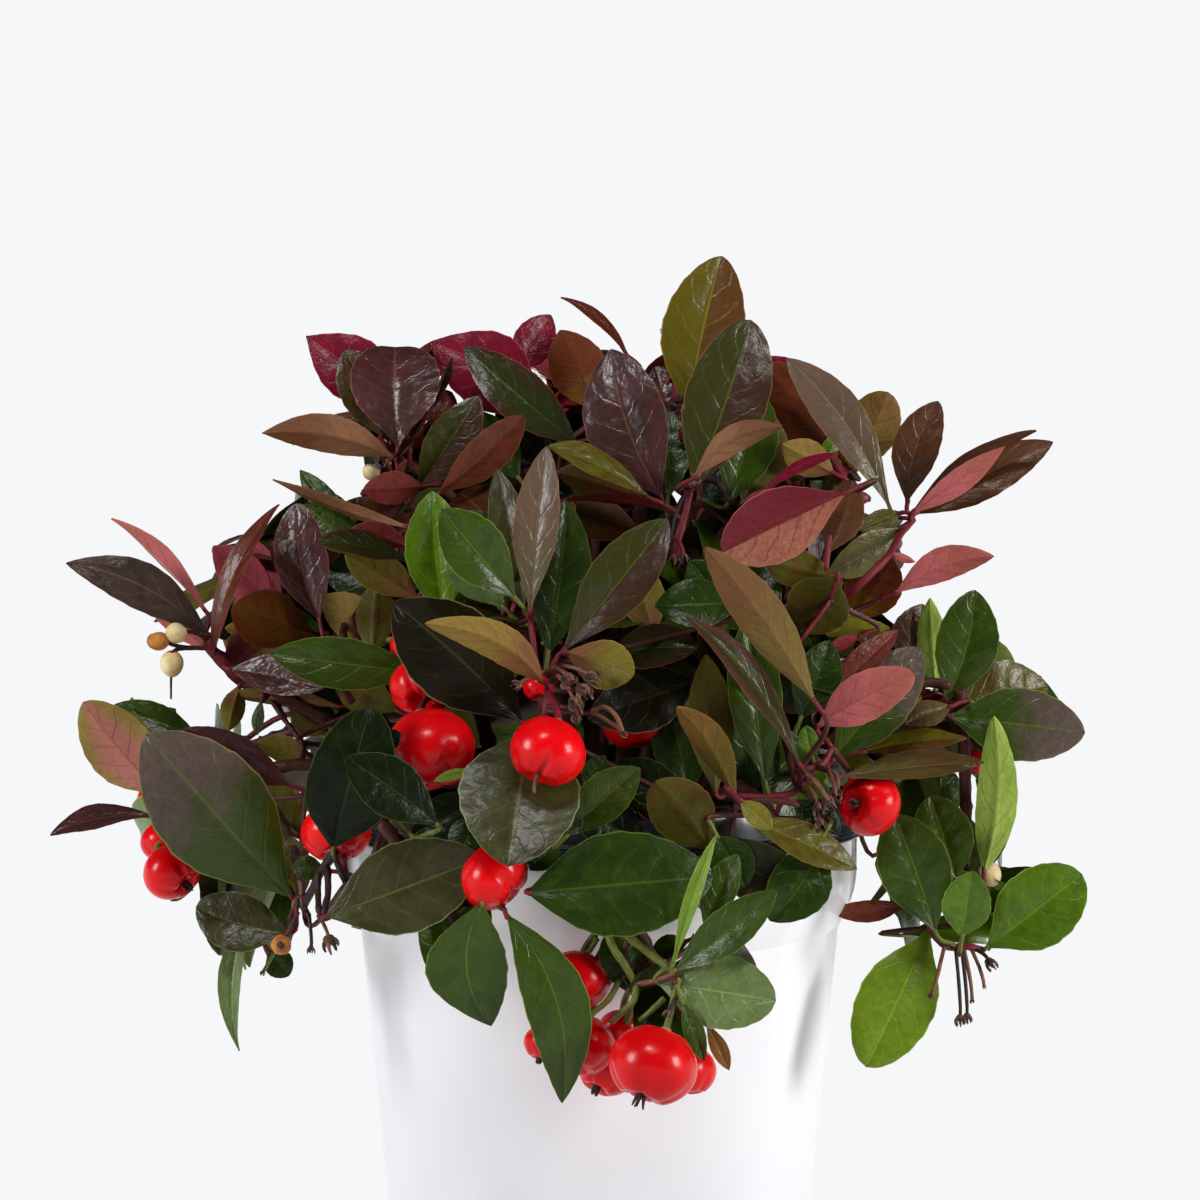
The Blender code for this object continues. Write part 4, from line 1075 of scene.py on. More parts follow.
for x0, y0, x1, y1 in (      # where the light ground or the pot shows between leaves
        (508, 900, 588, 944), (905, 566, 985, 622), (846, 838, 880, 888), (954, 770, 974, 814), (302, 842, 332, 908),
        (240, 700, 252, 730), (262, 706, 282, 732), (270, 748, 298, 764), (882, 445, 902, 500), (296, 446, 364, 470),
        (318, 458, 364, 484), (336, 462, 362, 496), (300, 388, 336, 410), (184, 552, 210, 580), (190, 560, 206, 590),
        (112, 530, 140, 552), (110, 600, 150, 624), (250, 496, 276, 520), (856, 466, 872, 512), (868, 478, 884, 512),
        (892, 396, 912, 424), (905, 525, 935, 552), (628, 330, 660, 356), (636, 350, 656, 366), (560, 304, 584, 328),
        (574, 320, 600, 340), (596, 338, 610, 350), (448, 370, 470, 404), (481, 408, 492, 436), (880, 600, 904, 622),
        (76, 770, 140, 800), (1008, 756, 1040, 774), (500, 940, 526, 1036), (405, 950, 424, 985),
        (928, 444, 952, 478), (916, 476, 932, 496)):
    closed[y0 // CELL:y1 // CELL, x0 // CELL:x1 // CELL] = False
cover = shown.copy()      # cells that any leaf hides
veil = shown.copy()       # cells that hide what lies behind the crown
veil[880 // CELL:, 376 // CELL:824 // CELL] = True      # the pot

# ---- the rest of the crown, by a seeded rule -----------------------------------
HEART = V(0, 0, 128)
PALETTES = (     # lowest height of the spray, the tints it may have
    (168, (("dp", "bp", "db"), ("rb", "bb", "or"), ("cr", "dp", "cp"), ("gp", "ol", "dr"), ("bp", "gp", "dg"), ("yo", "or", "ol"))),
    (140, (("dp", "gp", "pc"), ("dg", "gp", "ol"), ("mg", "dg", "dr"), ("bb", "ol", "du"), ("dg", "mg", "gp"))),
    (112, (("dg", "mg", "gp"), ("mg", "dg", "gt"), ("dg", "dk", "mg"), ("mg", "bg", "ol"), ("gp", "pc", "dg"))),
    (0, (("mg", "dg", "bg"), ("bg", "mg", "lm"), ("dg", "mg", "dk"), ("mg", "gg", "dg"))),
)


GLARE = ((V(860, -460, 360), 0.970), (V(-880, -440, 400), 0.970), (V(-100, -550, 900), 0.986))


def allowed(top, low, mass, behind):
    """True if a seeded leaf keeps clear of the pots, and of what the camera sees."""
    mid = top[9, 4]
    if not behind:
        face = unit(np.cross(top[9, 6] - top[9, 1], top[13, 4] - top[5, 4]))
        if any(abs(face @ unit(unit(EYE - mid) + unit(lamp_at - mid))) > limit for lamp_at, limit in GLARE):
            return False
    p = np.concatenate([top.reshape(-1, 3), low.reshape(-1, 3)])
    if any((((p - ball) ** 2).sum(1) < (rad + 0.5) ** 2).any() for ball, rad in BALLS):
        return False
    flat = np.hypot(p[:, 0], p[:, 1])
    if np.any((flat < LIP_R + 0.8) & (p[:, 2] < LIP_TOP + 0.8)):
        return False
    if np.any(p[:, 2] < 62) or np.any(p[:, 2] > 208):
        return False
    if np.any(p[:, 0] < -110) or np.any(p[:, 0] > 98) or np.any(p[:, 1] > 95) or np.any(p[:, 1] < -82):
        return False
    q = seen(top.reshape(-1, 3))
    i = (q[:, 1] / CELL).astype(int).clip(0, SIZE - 1)
    j = (q[:, 0] / CELL).astype(int).clip(0, SIZE - 1)
    if np.mean(~closed[i, j]) > 0.02:
        return False
    before = top.reshape(-1, 3)[:, 1] < front[i, j] + 1.0
    return np.mean(before & shown[i, j]) < 0.04


def cells(points):
    """Rows and columns of the map that points (n, 3) fall in."""
    q = seen(points)
    return ((q[:, 1] / CELL).astype(int).clip(0, SIZE - 1), (q[:, 0] / CELL).astype(int).clip(0, SIZE - 1))


def hide(top):
    p = np.concatenate([top, (top[1:] + top[:-1]) / 2])
    p = np.concatenate([p, (p[:, 1:] + p[:, :-1]) / 2], 1).reshape(-1, 3)
    cover[cells(p)] = True
    if p[:, 1].max() < 30:
        veil[cells(p)] = True


def spray(mass, node, axis, count, size, tints, r, behind):
    """A spray of leaves round the end of a twig; returns how many were kept."""
    start = spring_from(mass, node)
    kept = []
    side = unit(np.cross(axis, V(0.2, 0.3, 0.93)))
    other = np.cross(axis, side)
    spin = r.uniform(0, 6.28)
    for k in range(count):
        turn = spin + k * 2.39996 + r.uniform(-0.25, 0.25)
        low = k / max(1, count - 1)
        lean = math.radians(82 - 42 * low + r.uniform(-12, 12))
        out = unit(side * math.cos(turn) + other * math.sin(turn))
        way = unit(axis * math.cos(lean) + out * math.sin(lean) + V(0, 0, -0.10))
        where = node - axis * (1 - low) * 6.5
        length = size * r.uniform(0.82, 1.12) * (1 - 0.16 * low)
        base = where + way * r.uniform(2.4, 4.2)
        tip = base + way * length
        tip = tip + V(0, 0, -0.06 * length)
        normal = unit(axis - way * (axis @ way) + V(0, 0, 0.25))
        top, under, uv = leaf_grid(
            base, tip, normal, length * r.uniform(0.44, 0.58), r.uniform(14, 44), r.uniform(8, 22),
            wave=r.uniform(0.02, 0.09), twist=r.uniform(-22, 22), side=r.uniform(-0.04, 0.04),
            obovate=r.uniform(1.02, 1.24), blunt=r.uniform(0.58, 0.8), curl=r.uniform(0.06, 0.18),
            rows=18, cols=FILL_COLS, phase=r.uniform(0, 6.28), teeth=0.0)
        if allowed(top, under, mass, behind):
            kept.append((where, base, way, top, under, uv, tints[int(r.integers(len(tints)))]))
    if len(kept) < 2:
        return 0
    bark = "crimson" if node[2] > 118 and r.random() < 0.7 else "green" if r.random() < 0.5 else "brown"
    line = bezier(start, start + (node - start) * 0.35 + V(0, 0, 2.0), node - axis * 7, node, 10)
    if np.any(~closed[cells(line)]):
        return 0
    tube(twigs, bark, line, [0.80, 0.5], sides=7, relief=0.05, knots=0.2, seed=int(r.integers(9999)))
    anchors[mass].append(line[4:])
    for where, base, way, top, under, uv, tint in kept:
        put_leaf(pieces[GROUP_OF[mass]], tint, top, under, uv)
        hide(top)
        stalk = bezier(where, where + (base - where) * 0.4, base - way * 0.8, base + way * 0.8, 5)
        tube(twigs, "green" if tint in ("mg", "bg", "lm", "dk") else "crimson", stalk, [0.50, 0.42], sides=6, relief=0.03)
    nodes.append((mass, node, axis))
    return len(kept)


fill_leaves = 0
for m_index, (mass, (middle, size)) in enumerate(MASSES.items()):
    r = np.random.default_rng(700 + 31 * m_index)
    middle, size = V(*middle), V(*size)
    behind = mass.startswith("back") or mass == "hanging_back"
    goal = 48 if behind else 0 if "arm" in mass else 18     # the arms are as open as in front
    made = tries = 0
    while made < goal and tries < (90 if behind else 50):
        tries += 1
        way = unit(r.normal(0, 1, 3) * V(1, 1, 0.9) + (unit(middle - HEART) * 0.9 if behind else V(0, 0.35, 0.1)))
        node = middle + way * size * r.uniform(0.15, 0.72)
        outward = unit(node - HEART)
        hang = 0.15 if node[2] > 118 else -0.25
        axis = unit(outward * 0.8 + way * 0.35 + V(0, 0, 0.35 + hang) + r.normal(0, 0.18, 3))
        height = node[2]
        sets = next(p for low, p in PALETTES if height > low)
        tints = sets[int(r.integers(len(sets)))]
        length = r.uniform(26, 33) if height < 150 else r.uniform(24, 31)
        made += spray(mass, node, axis, int(r.integers(5, 8)), length, tints, r, behind)
    fill_leaves += made
    print("mass", mass, "fill leaves", made, "tries", tries)

# both flanks are as full as the front; what stands in front hides these sprays from it
r = np.random.default_rng(911)
for way, near in ((1, ("right_centre", "crown_upper_right", "right_cluster", "back_right")),
                  (-1, ("left_centre", "crown_upper_left", "back_left"))):
    made = tries = 0
    while made < 56 and tries < 170:
        tries += 1
        node = V(way * r.uniform(34, 78), r.uniform(-18, 40), r.uniform(106, 160))
        mass = min(near, key=lambda m: np.linalg.norm((node - V(*MASSES[m][0])) / V(*MASSES[m][1])))
        axis = unit(V(way, r.uniform(-0.25, 0.35), 0.35) + r.normal(0, 0.2, 3))
        sets = next(p for low, p in PALETTES if node[2] > low)
        made += spray(mass, node, axis, int(r.integers(5, 8)), r.uniform(25, 31), sets[int(r.integers(len(sets)))], r, True)
    fill_leaves += made
    print("flank", way, "leaves", made, "tries", tries)

# single leaves on side twigs where light would still fall through the crown
r = np.random.default_rng(77)
gap_leaves = 0
for _ in range(420):
    gaps = np.argwhere(closed & ~cover)
    if len(gaps) < 6:
        break
    i, j = gaps[int(r.integers(len(gaps)))]
    px, py = (j + 0.5) * CELL, (i + 0.5) * CELL
    best = None
    for _ in range(14):
        spot = at(px, py, r.uniform(-66, -56) if py > 770 and r.random() < 0.5 else r.uniform(-42, 22))
        mass = min(MASSES, key=lambda m: np.linalg.norm((spot - V(*MASSES[m][0])) / V(*MASSES[m][1])))
        start = spring_from(mass, spot)
        way = unit(unit(spot - HEART) * V(1, 0.4, 1) + r.normal(0, 0.55, 3) * V(1, 0.5, 1))
        length = r.uniform(24, 32)
        base, tip = spot - way * length * 0.55, spot + way * length * 0.45
        normal = unit(V(0, -0.5, 0.8) + r.normal(0, 0.35, 3))
        normal = unit(normal - way * (normal @ way))
        top, under, uv = leaf_grid(
            base, tip, normal, length * r.uniform(0.46, 0.58), r.uniform(12, 34), r.uniform(8, 20),
            wave=r.uniform(0.02, 0.09), twist=r.uniform(-18, 18), side=r.uniform(-0.04, 0.04),
            obovate=r.uniform(1.02, 1.24), blunt=r.uniform(0.58, 0.8), curl=r.uniform(0.06, 0.18),
            rows=18, cols=FILL_COLS, phase=r.uniform(0, 6.28), teeth=0.0)
        if not allowed(top, under, mass, False) or np.any(~closed[cells(np.linspace(start, base, 8))]):
            continue
        new = np.zeros_like(cover)
        new[cells(((top[1:] + top[:-1]) / 2).reshape(-1, 3))] = True
        gain = (new & closed & ~cover).sum() - 0.04 * np.linalg.norm(base - start)
        if best is None or gain > best[0]:
            best = (gain, mass, start, base, way, top, under, uv)
    if best is None or best[0] < 1.5:
        continue
    gain, mass, start, base, way, top, under, uv = best
    sets = next(p for low, p in PALETTES if base[2] > low)
    tints = sets[int(r.integers(len(sets)))]
    tint = tints[int(r.integers(len(tints)))]
    put_leaf(pieces[GROUP_OF[mass]], tint, top, under, uv)
    hide(top)
    span = np.linalg.norm(base - start)
    joint = base - way * 3.0
    line = bezier(start, start + (joint - start) * 0.35 + V(0, 0.2, -0.04) * span, joint - way * 0.25 * span, joint, 10)
    tube(twigs, "brown", line, [0.62, 0.46], sides=6, relief=0.04, knots=0.15, seed=gap_leaves)
    tube(twigs, "green" if tint in ("mg", "bg", "lm", "dk") else "crimson",
         bezier(joint, joint + way, base - way * 0.8, base + way * 0.8, 5), [0.48, 0.42], sides=6, relief=0.03)
    gap_leaves += 1
print("leaves", hero_leaves, fill_leaves, gap_leaves, "gaps left", int((closed & ~cover).sum()))

# ---- berries, buds and dried flowers -------------------------------------------
berries = Piece("berries")
trims = Piece("buds_and_dried_flowers")


def berry(middle, radius, axis, seed=0, calyx=True, squat=0.92, cleft=None, depth=0.0):
    """A five-lobed berry; axis runs from its stalk to the open end. A deeper cleft
    may run up the side that faces the given way."""
    axis = unit(axis)
    side = unit(np.cross(axis, V(0.3, 0.2, 0.93)))
    other = np.cross(axis, side)
    r = np.random.default_rng(8000 + seed)
    spin = r.uniform(0, 6.28)
    th = np.linspace(0.02, np.pi - 0.02, 34)[:, None]
    ph = np.linspace(0, 2 * np.pi, 50, endpoint=False)[None, :]
    deep = 0.012 + 0.115 * smooth(th, 0.42 * np.pi, 0.97 * np.pi)
    if cleft is not None:
        face = math.atan2(V(*cleft) @ other, V(*cleft) @ side)
        spin = math.pi / 5 - face
        turned = np.abs((ph - face + np.pi) % (2 * np.pi) - np.pi)
        deep = deep + depth * smooth(th, 0.36 * np.pi, 0.86 * np.pi) * smooth(turned, 0.45, 0.0)
    valley = (1 - np.abs(np.cos(2.5 * (ph + spin)))) ** 2.6
    uneven = 1 + 0.035 * np.sin(ph + spin * 2) * np.sin(th) + 0.02 * np.sin(2 * ph + spin)
    rad = radius * np.sin(th) * (1 - deep * valley) * uneven * (1 + 0.05 * np.sin(th) ** 2)
    dip = 0.30 * smooth(th, 0.80 * np.pi, np.pi) + deep * valley * 0.5
    z = -np.cos(th) * squat + 0.0
    z = np.where(th > np.pi / 2, z - dip, z + 0.16 * smooth(th, 0.18 * np.pi, 0.0))
    z = z * radius
    pts = middle + rad[..., None] * (np.cos(ph)[..., None] * side + np.sin(ph)[..., None] * other) + z[..., None] * axis
    uv = np.stack(np.broadcast_arrays(ph / 6.3, th / 3.15), -1)
    berries.grid(pts, uv, 0, close=True)
    stalk_end = middle - axis * radius * (squat - 0.16)
    # stalk disc
    ring = np.linspace(0, 2 * np.pi, 20, endpoint=False)
    rows = []
    for k, (rr, zz) in enumerate(((0.02, -0.20), (0.10, -0.16), (0.22, -0.03), (0.25, 0.05), (0.17, 0.10), (0.05, 0.13))):
        lobe = 1 + 0.22 * np.cos(5 * ring) * (k > 1)
        rows.append(stalk_end + (rr * radius * lobe)[:, None] * (np.cos(ring)[:, None] * side + np.sin(ring)[:, None] * other) + axis * zz * radius * 0.9)
    trims.grid(np.stack(rows), np.zeros((6, 20, 2)), 1, close=True)
    if calyx == "style":       # a short dry style is all that is left
        end = middle + axis * radius * (squat - 0.34)
        tube(trims, "dry", bezier(end, end + axis * 1.2, end + axis * 2.6 + side * 0.2, end + axis * 4.0 - side * 0.5, 6), [0.5, 0.3], sides=6, seed=3)
    elif calyx:
        end = middle + axis * radius * (squat - 0.26)
        for k in range(5):
            a = spin + math.pi / 5 + k * math.tau / 5
            out = side * math.cos(a) + other * math.sin(a)
            line = bezier(end + out * 0.25, end + out * 0.10 * radius + axis * 0.10 * radius,
                          end + out * 0.12 * radius + axis * 0.26 * radius, end + out * r.uniform(0.04, 0.2) * radius + axis * 0.36 * radius, 5)
            tube(trims, "dark", line, [0.5, 0.16], sides=5, seed=k)
    return stalk_end


for k, (px, py, size, y, way, stalk, calyx, *more) in enumerate(BERRIES):
    middle = at(px, py, y)
    radius = size * (y - EYE[1]) / FOCAL
    end = berry(middle, radius * 0.985, V(*way), k, calyx, *more)
    root = at(*stalk)
    line = bezier(root, root + (end - root) * 0.35 + V(0, 0, 1.0), end - unit(V(*way)) * 3.0, end + unit(V(*way)) * 0.4, 8)
    tube(twigs, "crimson" if py < 860 else "green", line, [0.62, 0.7], sides=7, seed=k)
    pool = np.concatenate([np.concatenate(a) for a in anchors.values()])
    near = pool[int(np.argmin(np.linalg.norm(pool - root, axis=1)))]
    if np.linalg.norm(near - root) > 0.8:
        tube(twigs, "brown", bezier(near, near + (root - near) * 0.4, root - V(0, 0, 0.6), root, 6), [0.8, 0.62], sides=7, seed=k)

# more berries at the sides and back, hung under seeded sprays
DISC = np.array([V(a * math.cos(w), 0, a * math.sin(w)) for a in (0, 0.25, 0.5, 0.75, 1) for w in np.arange(24) * math.tau / 24])
r = np.random.default_rng(41)
made = []
for mass, node, axis in nodes:
    behind = mass.startswith("back") or mass == "hanging_back"
    if not behind or len(made) > 13 or node[2] > 158:
        continue
    out = unit(V(node[0], node[1], 0))
    for _ in range(6):
        radius = r.uniform(5.8, 7.8)
        middle = node + out * r.uniform(7, 14) + V(r.uniform(-7, 7), 0, -r.uniform(6, 16))
        if math.hypot(middle[0], middle[1]) < LIP_R + radius + 2 and middle[2] < LIP_TOP + radius + 2:
            continue
        if any(np.linalg.norm(middle - o) < radius + q + 0.5 for o, q in made):
            continue
        if middle[1] < 30 or middle[2] < 72 or middle[1] > 92 - radius:
            continue
        ball = middle + (radius + 1.5) * DISC
        if veil[cells(ball)].all():
            break
    else:
        continue
    way = unit(out * 0.5 + V(0, 0, -1) + r.normal(0, 0.25, 3))
    end = berry(middle, radius, way, 100 + len(made), r.random() < 0.5)
    line = bezier(node, node + out * 4, end - way * 4, end + way * 0.4, 8)
    tube(twigs, "crimson", line, [0.62, 0.7], sides=7, seed=len(made))
    made.append((middle, radius))
print("berries behind", len(made))


def blob(piece, middle, radius, axis, mat, stretch=1.15, teeth=0.0, seed=0):
    """A small bud or capsule, narrower towards its open end."""
    axis = unit(axis)
    side = unit(np.cross(axis, V(0.3, 0.2, 0.93)))
    other = np.cross(axis, side)
    th = np.linspace(0.03, np.pi - 0.03, 12)[:, None]
    ph = np.linspace(0, 2 * np.pi, 16, endpoint=False)[None, :]
    rad = radius * np.sin(th) * (1 - 0.22 * (th / np.pi) ** 2) * (1 + 0.05 * np.cos(5 * ph + seed)) * (1 + teeth * np.cos(5 * ph) * (th > 2.2))
    z = -np.cos(th) * radius * stretch + 0 * ph
    pts = middle + rad[..., None] * (np.cos(ph)[..., None] * side + np.sin(ph)[..., None] * other) + z[..., None] * axis
    piece.grid(pts, np.stack(np.broadcast_arrays(ph / 6.3, th / 3.15), -1), mat, close=True)


def dried(middle, size, axis, seed):
    """A dried flower: a small ribbed capsule in a ragged ring of sepals."""
    r = np.random.default_rng(300 + seed)
    axis = unit(axis)
    side = unit(np.cross(axis, V(0.3, 0.2, 0.93)))
    other = np.cross(axis, side)
    blob(trims, middle, size * 0.62, axis, 2, 0.9, 0.1, seed)
    for k in range(6):
        a = k * math.tau / 6 + r.uniform(-0.2, 0.2)
        out = side * math.cos(a) + other * math.sin(a)
        line = bezier(middle + out * size * 0.3, middle + out * size * 0.75 + axis * size * 0.2,
                      middle + out * size * 0.8 + axis * size * 0.7, middle + out * size * r.uniform(0.3, 0.9) + axis * size * r.uniform(0.9, 1.3), 5)
        tube(trims, "dry" if k % 2 else "dark", line, [size * 0.30, size * 0.1], sides=5, relief=0.15, seed=k)


# cream buds of the left arm
for px, py, y, size, way in ((176, 633, -21, 2.1, (-0.4, -0.5, 0.2)), (172, 664, -21, 2.35, (0, -0.1, -1)), (371, 472, -4, 1.7, (-0.5, -0.4, 0.4)), (990, 874, -22, 2.3, (0.3, -0.3, -0.8))):
    p = at(px, py, y)
    blob(trims, p, size, V(*way), 0, 1.1, 0.0, px)
p = at(171, 676, -21)
tube(trims, "brown", through([p, at(171, 688, -21), at(171, 699, -21)], 4), [0.28, 0.2], sides=6)
for line, rad in (
    ([(212, 648, -17), (190, 648, -18), (178, 649, -20), (172, 654, -21)], 0.5),
    ([(208, 640, -17), (196, 633, -19), (184, 631, -21)], 0.45),
    ([(190, 648, -18), (174, 645, -20), (163, 641, -21)], 0.42),
):
    tube(twigs, "brown", through([at(*q) for q in line], 5), [rad, rad * 0.9], sides=7)
blob(trims, at(158, 641, -21.5), 1.9, V(-1, -0.3, 0), 3, 1.15, 0.16, 4)
blob(trims, at(152, 641, -21.8), 1.1, V(-1, -0.3, 0), 2, 0.9, 0.1, 5)
blob(trims, at(172, 654, -21), 1.2, V(0, 0, -1), 4, 0.6, 0.0, 4)

DRIED = (       # end pixel and depth, from pixel and depth, size, kind of stalk
    (329, 940, -60, 318, 915, -62, 1.9, "dry"),
    (311, 948, -44, 309, 915, -42, 0.9, "dark"),
    (263, 972, -34, 282, 940, -36, 0.6, "green"),
    (300, 900, -42, 300, 880, -40, 1.7, "dry"),
    (326, 838, -40, 335, 820, -38, 1.5, "dry"),
    (568, 680, -62, 556, 668, -56, 2.2, "dry"),
    (582, 690, -63, 560, 670, -57, 2.1, "dry"),
    (574, 702, -64, 558, 675, -58, 1.9, "dry"),
    (590, 676, -62, 562, 666, -57, 1.6, "dry"),
    (576, 716, -62, 574, 706, -61, 1.2, "crimson"),
    (519, 684, -60, 545, 672, -56, 1.2, "dry"),
    (622, 733, -62, 590, 712, -60, 0.9, "dry"),
    (820, 822, -58, 806, 792, -52, 1.3, "brown"),
    (827, 800, -56, 800, 770, -50, 1.8, "dry"),
    (835, 792, -54, 828, 770, -48, 1.6, "dry"),
    (818, 806, -57, 805, 778, -50, 1.5, "dry"),
    (932, 994, -34, 945, 946, -32, 0.8, "dry"),
    (960, 1018, -34, 956, 950, -32, 1.3, "dark"),
    (967, 1016, -34, 962, 950, -32, 1.2, "dark"),
    (972, 1000, -33, 964, 948, -32, 0.6, "dry"),
    (989, 962, -33, 976, 950, -32, 1.5, "dark"),
    (984, 986, -33, 972, 950, -32, 0.5, "dry"),
    (675, 558, -26, 684, 520, -23, 1.6, "crimson"),
    (683, 556, -27, 678, 540, -25, 1.3, "crimson"),
    (693, 484, -26, 688, 495, -24, 1.4, "crimson"),
    (636, 982, -68, 618, 960, -67, 1.0, "dark"),
    (629, 990, -68, 622, 978, -67, 0.9, "dark"),
    (668, 1012, -74, 676, 998, -73, 0.9, "dark"),
    (388, 462, -14, 397, 455, -8, 1.0, "crimson"),
)
for k, (px, py, y, fx, fy, fy_depth, size, bark) in enumerate(DRIED):
    end, root = at(px, py, y), at(fx, fy, fy_depth)
    span = end - root
    line = bezier(root, root + span * 0.3 + V(0, 0, 0.6), end - span * 0.2 + V(0.4, -0.4, 0.6), end, 7)
    tube(twigs, bark, line, [0.42, 0.36], sides=6, relief=0.08, seed=k)
    dried(end, size, span + V(0, 0, -0.5), k)
    pool = np.concatenate([np.concatenate(a) for a in anchors.values()])
    near = pool[int(np.argmin(np.linalg.norm(pool - root, axis=1)))]
    if np.linalg.norm(near - root) > 0.9:
        tube(twigs, "brown", bezier(near, near + (root - near) * 0.4, root - V(0, 0, 0.4), root, 6), [0.7, 0.5], sides=6, seed=k)

EXTRA = (      # thin stalks that show: bark, radii, (pixel, pixel, depth) points
    ("green", (0.8, 0.7), [(606, 922, -65), (612, 945, -68), (625, 965, -69), (636, 984, -68)]),
    ("green", (0.6, 0.5), [(597, 938, -62), (590, 950, -62), (580, 958, -62)]),
    ("green", (0.62, 0.55), [(636, 984, -68), (634, 1000, -70), (622, 1012, -69), (612, 1022, -67)]),
    ("green", (0.6, 0.55), [(620, 980, -67), (608, 1000, -68), (594, 1012, -68), (588, 1020, -68)]),
    ("green", (0.55, 0.5), [(664, 998, -70), (650, 1012, -70), (640, 1020, -68)]),
    ("dry", (0.6, 0.5), [(632, 985, -68), (650, 982, -69), (664, 978, -71), (674, 974, -72)]),
    ("dry", (0.5, 0.42), [(592, 712, -60), (604, 707, -62), (616, 716, -63), (622, 731, -63)]),
    ("dry", (0.5, 0.42), [(800, 772, -50), (812, 778, -54), (822, 790, -57), (828, 800, -58)]),
    ("dry", (0.45, 0.4), [(826, 768, -46), (836, 776, -50), (838, 792, -53)]),
    ("brown", (0.6, 0.5), [(735, 808, -60), (760, 800, -60), (790, 803, -60), (798, 806, -60)]),
    ("dark", (0.9, 0.8), [(335, 852, -54), (322, 870, -50), (312, 890, -46), (303, 905, -42)]),
    ("dark", (0.7, 0.6), [(318, 872, -50), (318, 892, -52), (319, 912, -58)]),
    ("dark", (0.7, 0.6), [(327, 868, -52), (328, 892, -56), (324, 914, -60)]),
    ("brown", (0.8, 0.7), [(330, 676, -30), (342, 686, -28), (352, 702, -26)]),
    ("crimson", (0.8, 0.7), [(676, 560, -24), (678, 540, -24), (686, 512, -23), (690, 490, -22)]),
    ("dark", (0.9, 0.8), [(690, 490, -22), (700, 478, -22), (718, 482, -22), (730, 500, -24)]),
    ("crimson", (0.5, 0.45), [(826, 570, -32), (828, 552, -31), (830, 535, -30)]),
    ("crimson", (0.8, 0.7), [(846, 486, -14), (840, 470, -12), (832, 455, -10)]),
    ("brown", (0.7, 0.6), [(862, 500, -8), (870, 498, -8)]),
)
for k, (bark, rad, line) in enumerate(EXTRA):
    tube(twigs, bark, through([at(*q) for q in line], 5), list(rad), sides=7, relief=0.06, knots=0.15, seed=k)
blob(trims, at(862, 498, -8), 1.3, V(1, 0, 0), 4, 1.2, 0.0, 2)
tube(twigs, "brown", through([at(298, 912, -38), at(292, 926, -39), at(285, 938, -39)], 5), [0.45, 0.5], sides=7)
blob(trims, at(281, 945, -40), 2.1, V(-0.35, -0.8, -0.3), 3, 0.9, 0.08, 6)
blob(trims, at(280.3, 945.6, -41.5), 0.9, V(-0.35, -0.8, -0.3), 2, 0.6, 0.2, 7)

# ---- pots and peat ---------------------------------------------------------------
def lathe(name, profile, steps, mats, lumps=None, sharp=32):
    piece = Piece(name)
    p = np.array(profile, float)
    turn = np.linspace(0, 2 * np.pi, steps, endpoint=False)
    r, z = p[:, :1], p[:, 1:2]
    r = np.maximum(r, 0.01)
    if lumps is not None:
        r, z = lumps(r + 0 * turn, z + 0 * turn, turn[None])
    pts = np.stack(np.broadcast_arrays(r * np.cos(turn), r * np.sin(turn), z + 0 * turn), -1)
    uv = np.stack(np.broadcast_arrays(turn[None] / 6.3, np.linspace(0, 1, len(p))[:, None]), -1)
    piece.grid(pts, uv, 0, close=True)
    ob = piece.make(mats, sharp)
    mesh = ob.data
    mesh.uv_layers.remove(mesh.uv_layers["OFBake"])
    return ob


def rounded(profile, cut=0.35):
    """Replace each corner of a profile by a small bevel."""
    p = [V(*q) for q in profile]
    out = [p[0]]
    for a, b, c in zip(p, p[1:], p[2:]):
        la, lc = np.linalg.norm(a - b), np.linalg.norm(c - b)
        k = min(cut, 0.35 * la, 0.35 * lc)
        u, w = b + (a - b) / la * k, b + (c - b) / lc * k
        out += [u, (u + w) / 4 + b / 2, w]
    out.append(p[-1])
    return [tuple(q) for q in out]


def white_pot():
    n = Nodes("pot_white_gloss")
    co = n.node("ShaderNodeTexCoord").outputs["Object"]
    haze = n.noise(co, 18.0, 3.0, 0.5)
    colour = n.mix(n.ramp(haze, 0.3, 0.7), lin((238, 237, 240)), lin((232, 231, 236)))
    scuff = n.noise(co, 260.0, 4.0, 0.7)
    colour = n.mix(n.math("MULTIPLY", n.ramp(scuff, 0.70, 0.80), 0.10), colour, lin((206, 204, 208)))
    mat = n.finish(colour, 0.24, n.bump(n.noise(co, 420.0, 3.0, 0.6), 0.05, 0.0001), Specular_IOR_Level=0.5, Coat_Weight=0.25, Coat_Roughness=0.06)
    slope = (47.2 - 39.7) / 79.7
    foot = 39.7 + slope * 4.4 - 2.4
    profile = [(0, 1.2), (33.0, 1.2), (34.2, 0.0), (38.7, 0.0), (39.6, 0.5), (39.9, 1.6)]
    profile += [(39.7 + slope * z, z) for z in (10, 25, 40, 55, 70)]
    profile += [(47.2, 79.55), (47.25, 79.75), (47.75, 79.85), (47.95, 80.2)]
    profile += [(47.95 + (50.7 - 47.95) * math.sin(t * math.pi / 2) ** 0.92, 80.2 + 9.6 * t) for t in (0.2, 0.4, 0.6, 0.8, 1.0)]
    profile += [(50.7, 96.6), (50.5, 97.5), (49.9, 98.0), (49.0, 98.0), (48.5, 97.6), (48.3, 96.9), (48.3, 90.1), (44.8, 79.7), (foot, 4.4), (0, 4.4)]
    ob = lathe("white_cache_pot", profile, 180, [mat], sharp=40)
    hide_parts("white_pot")


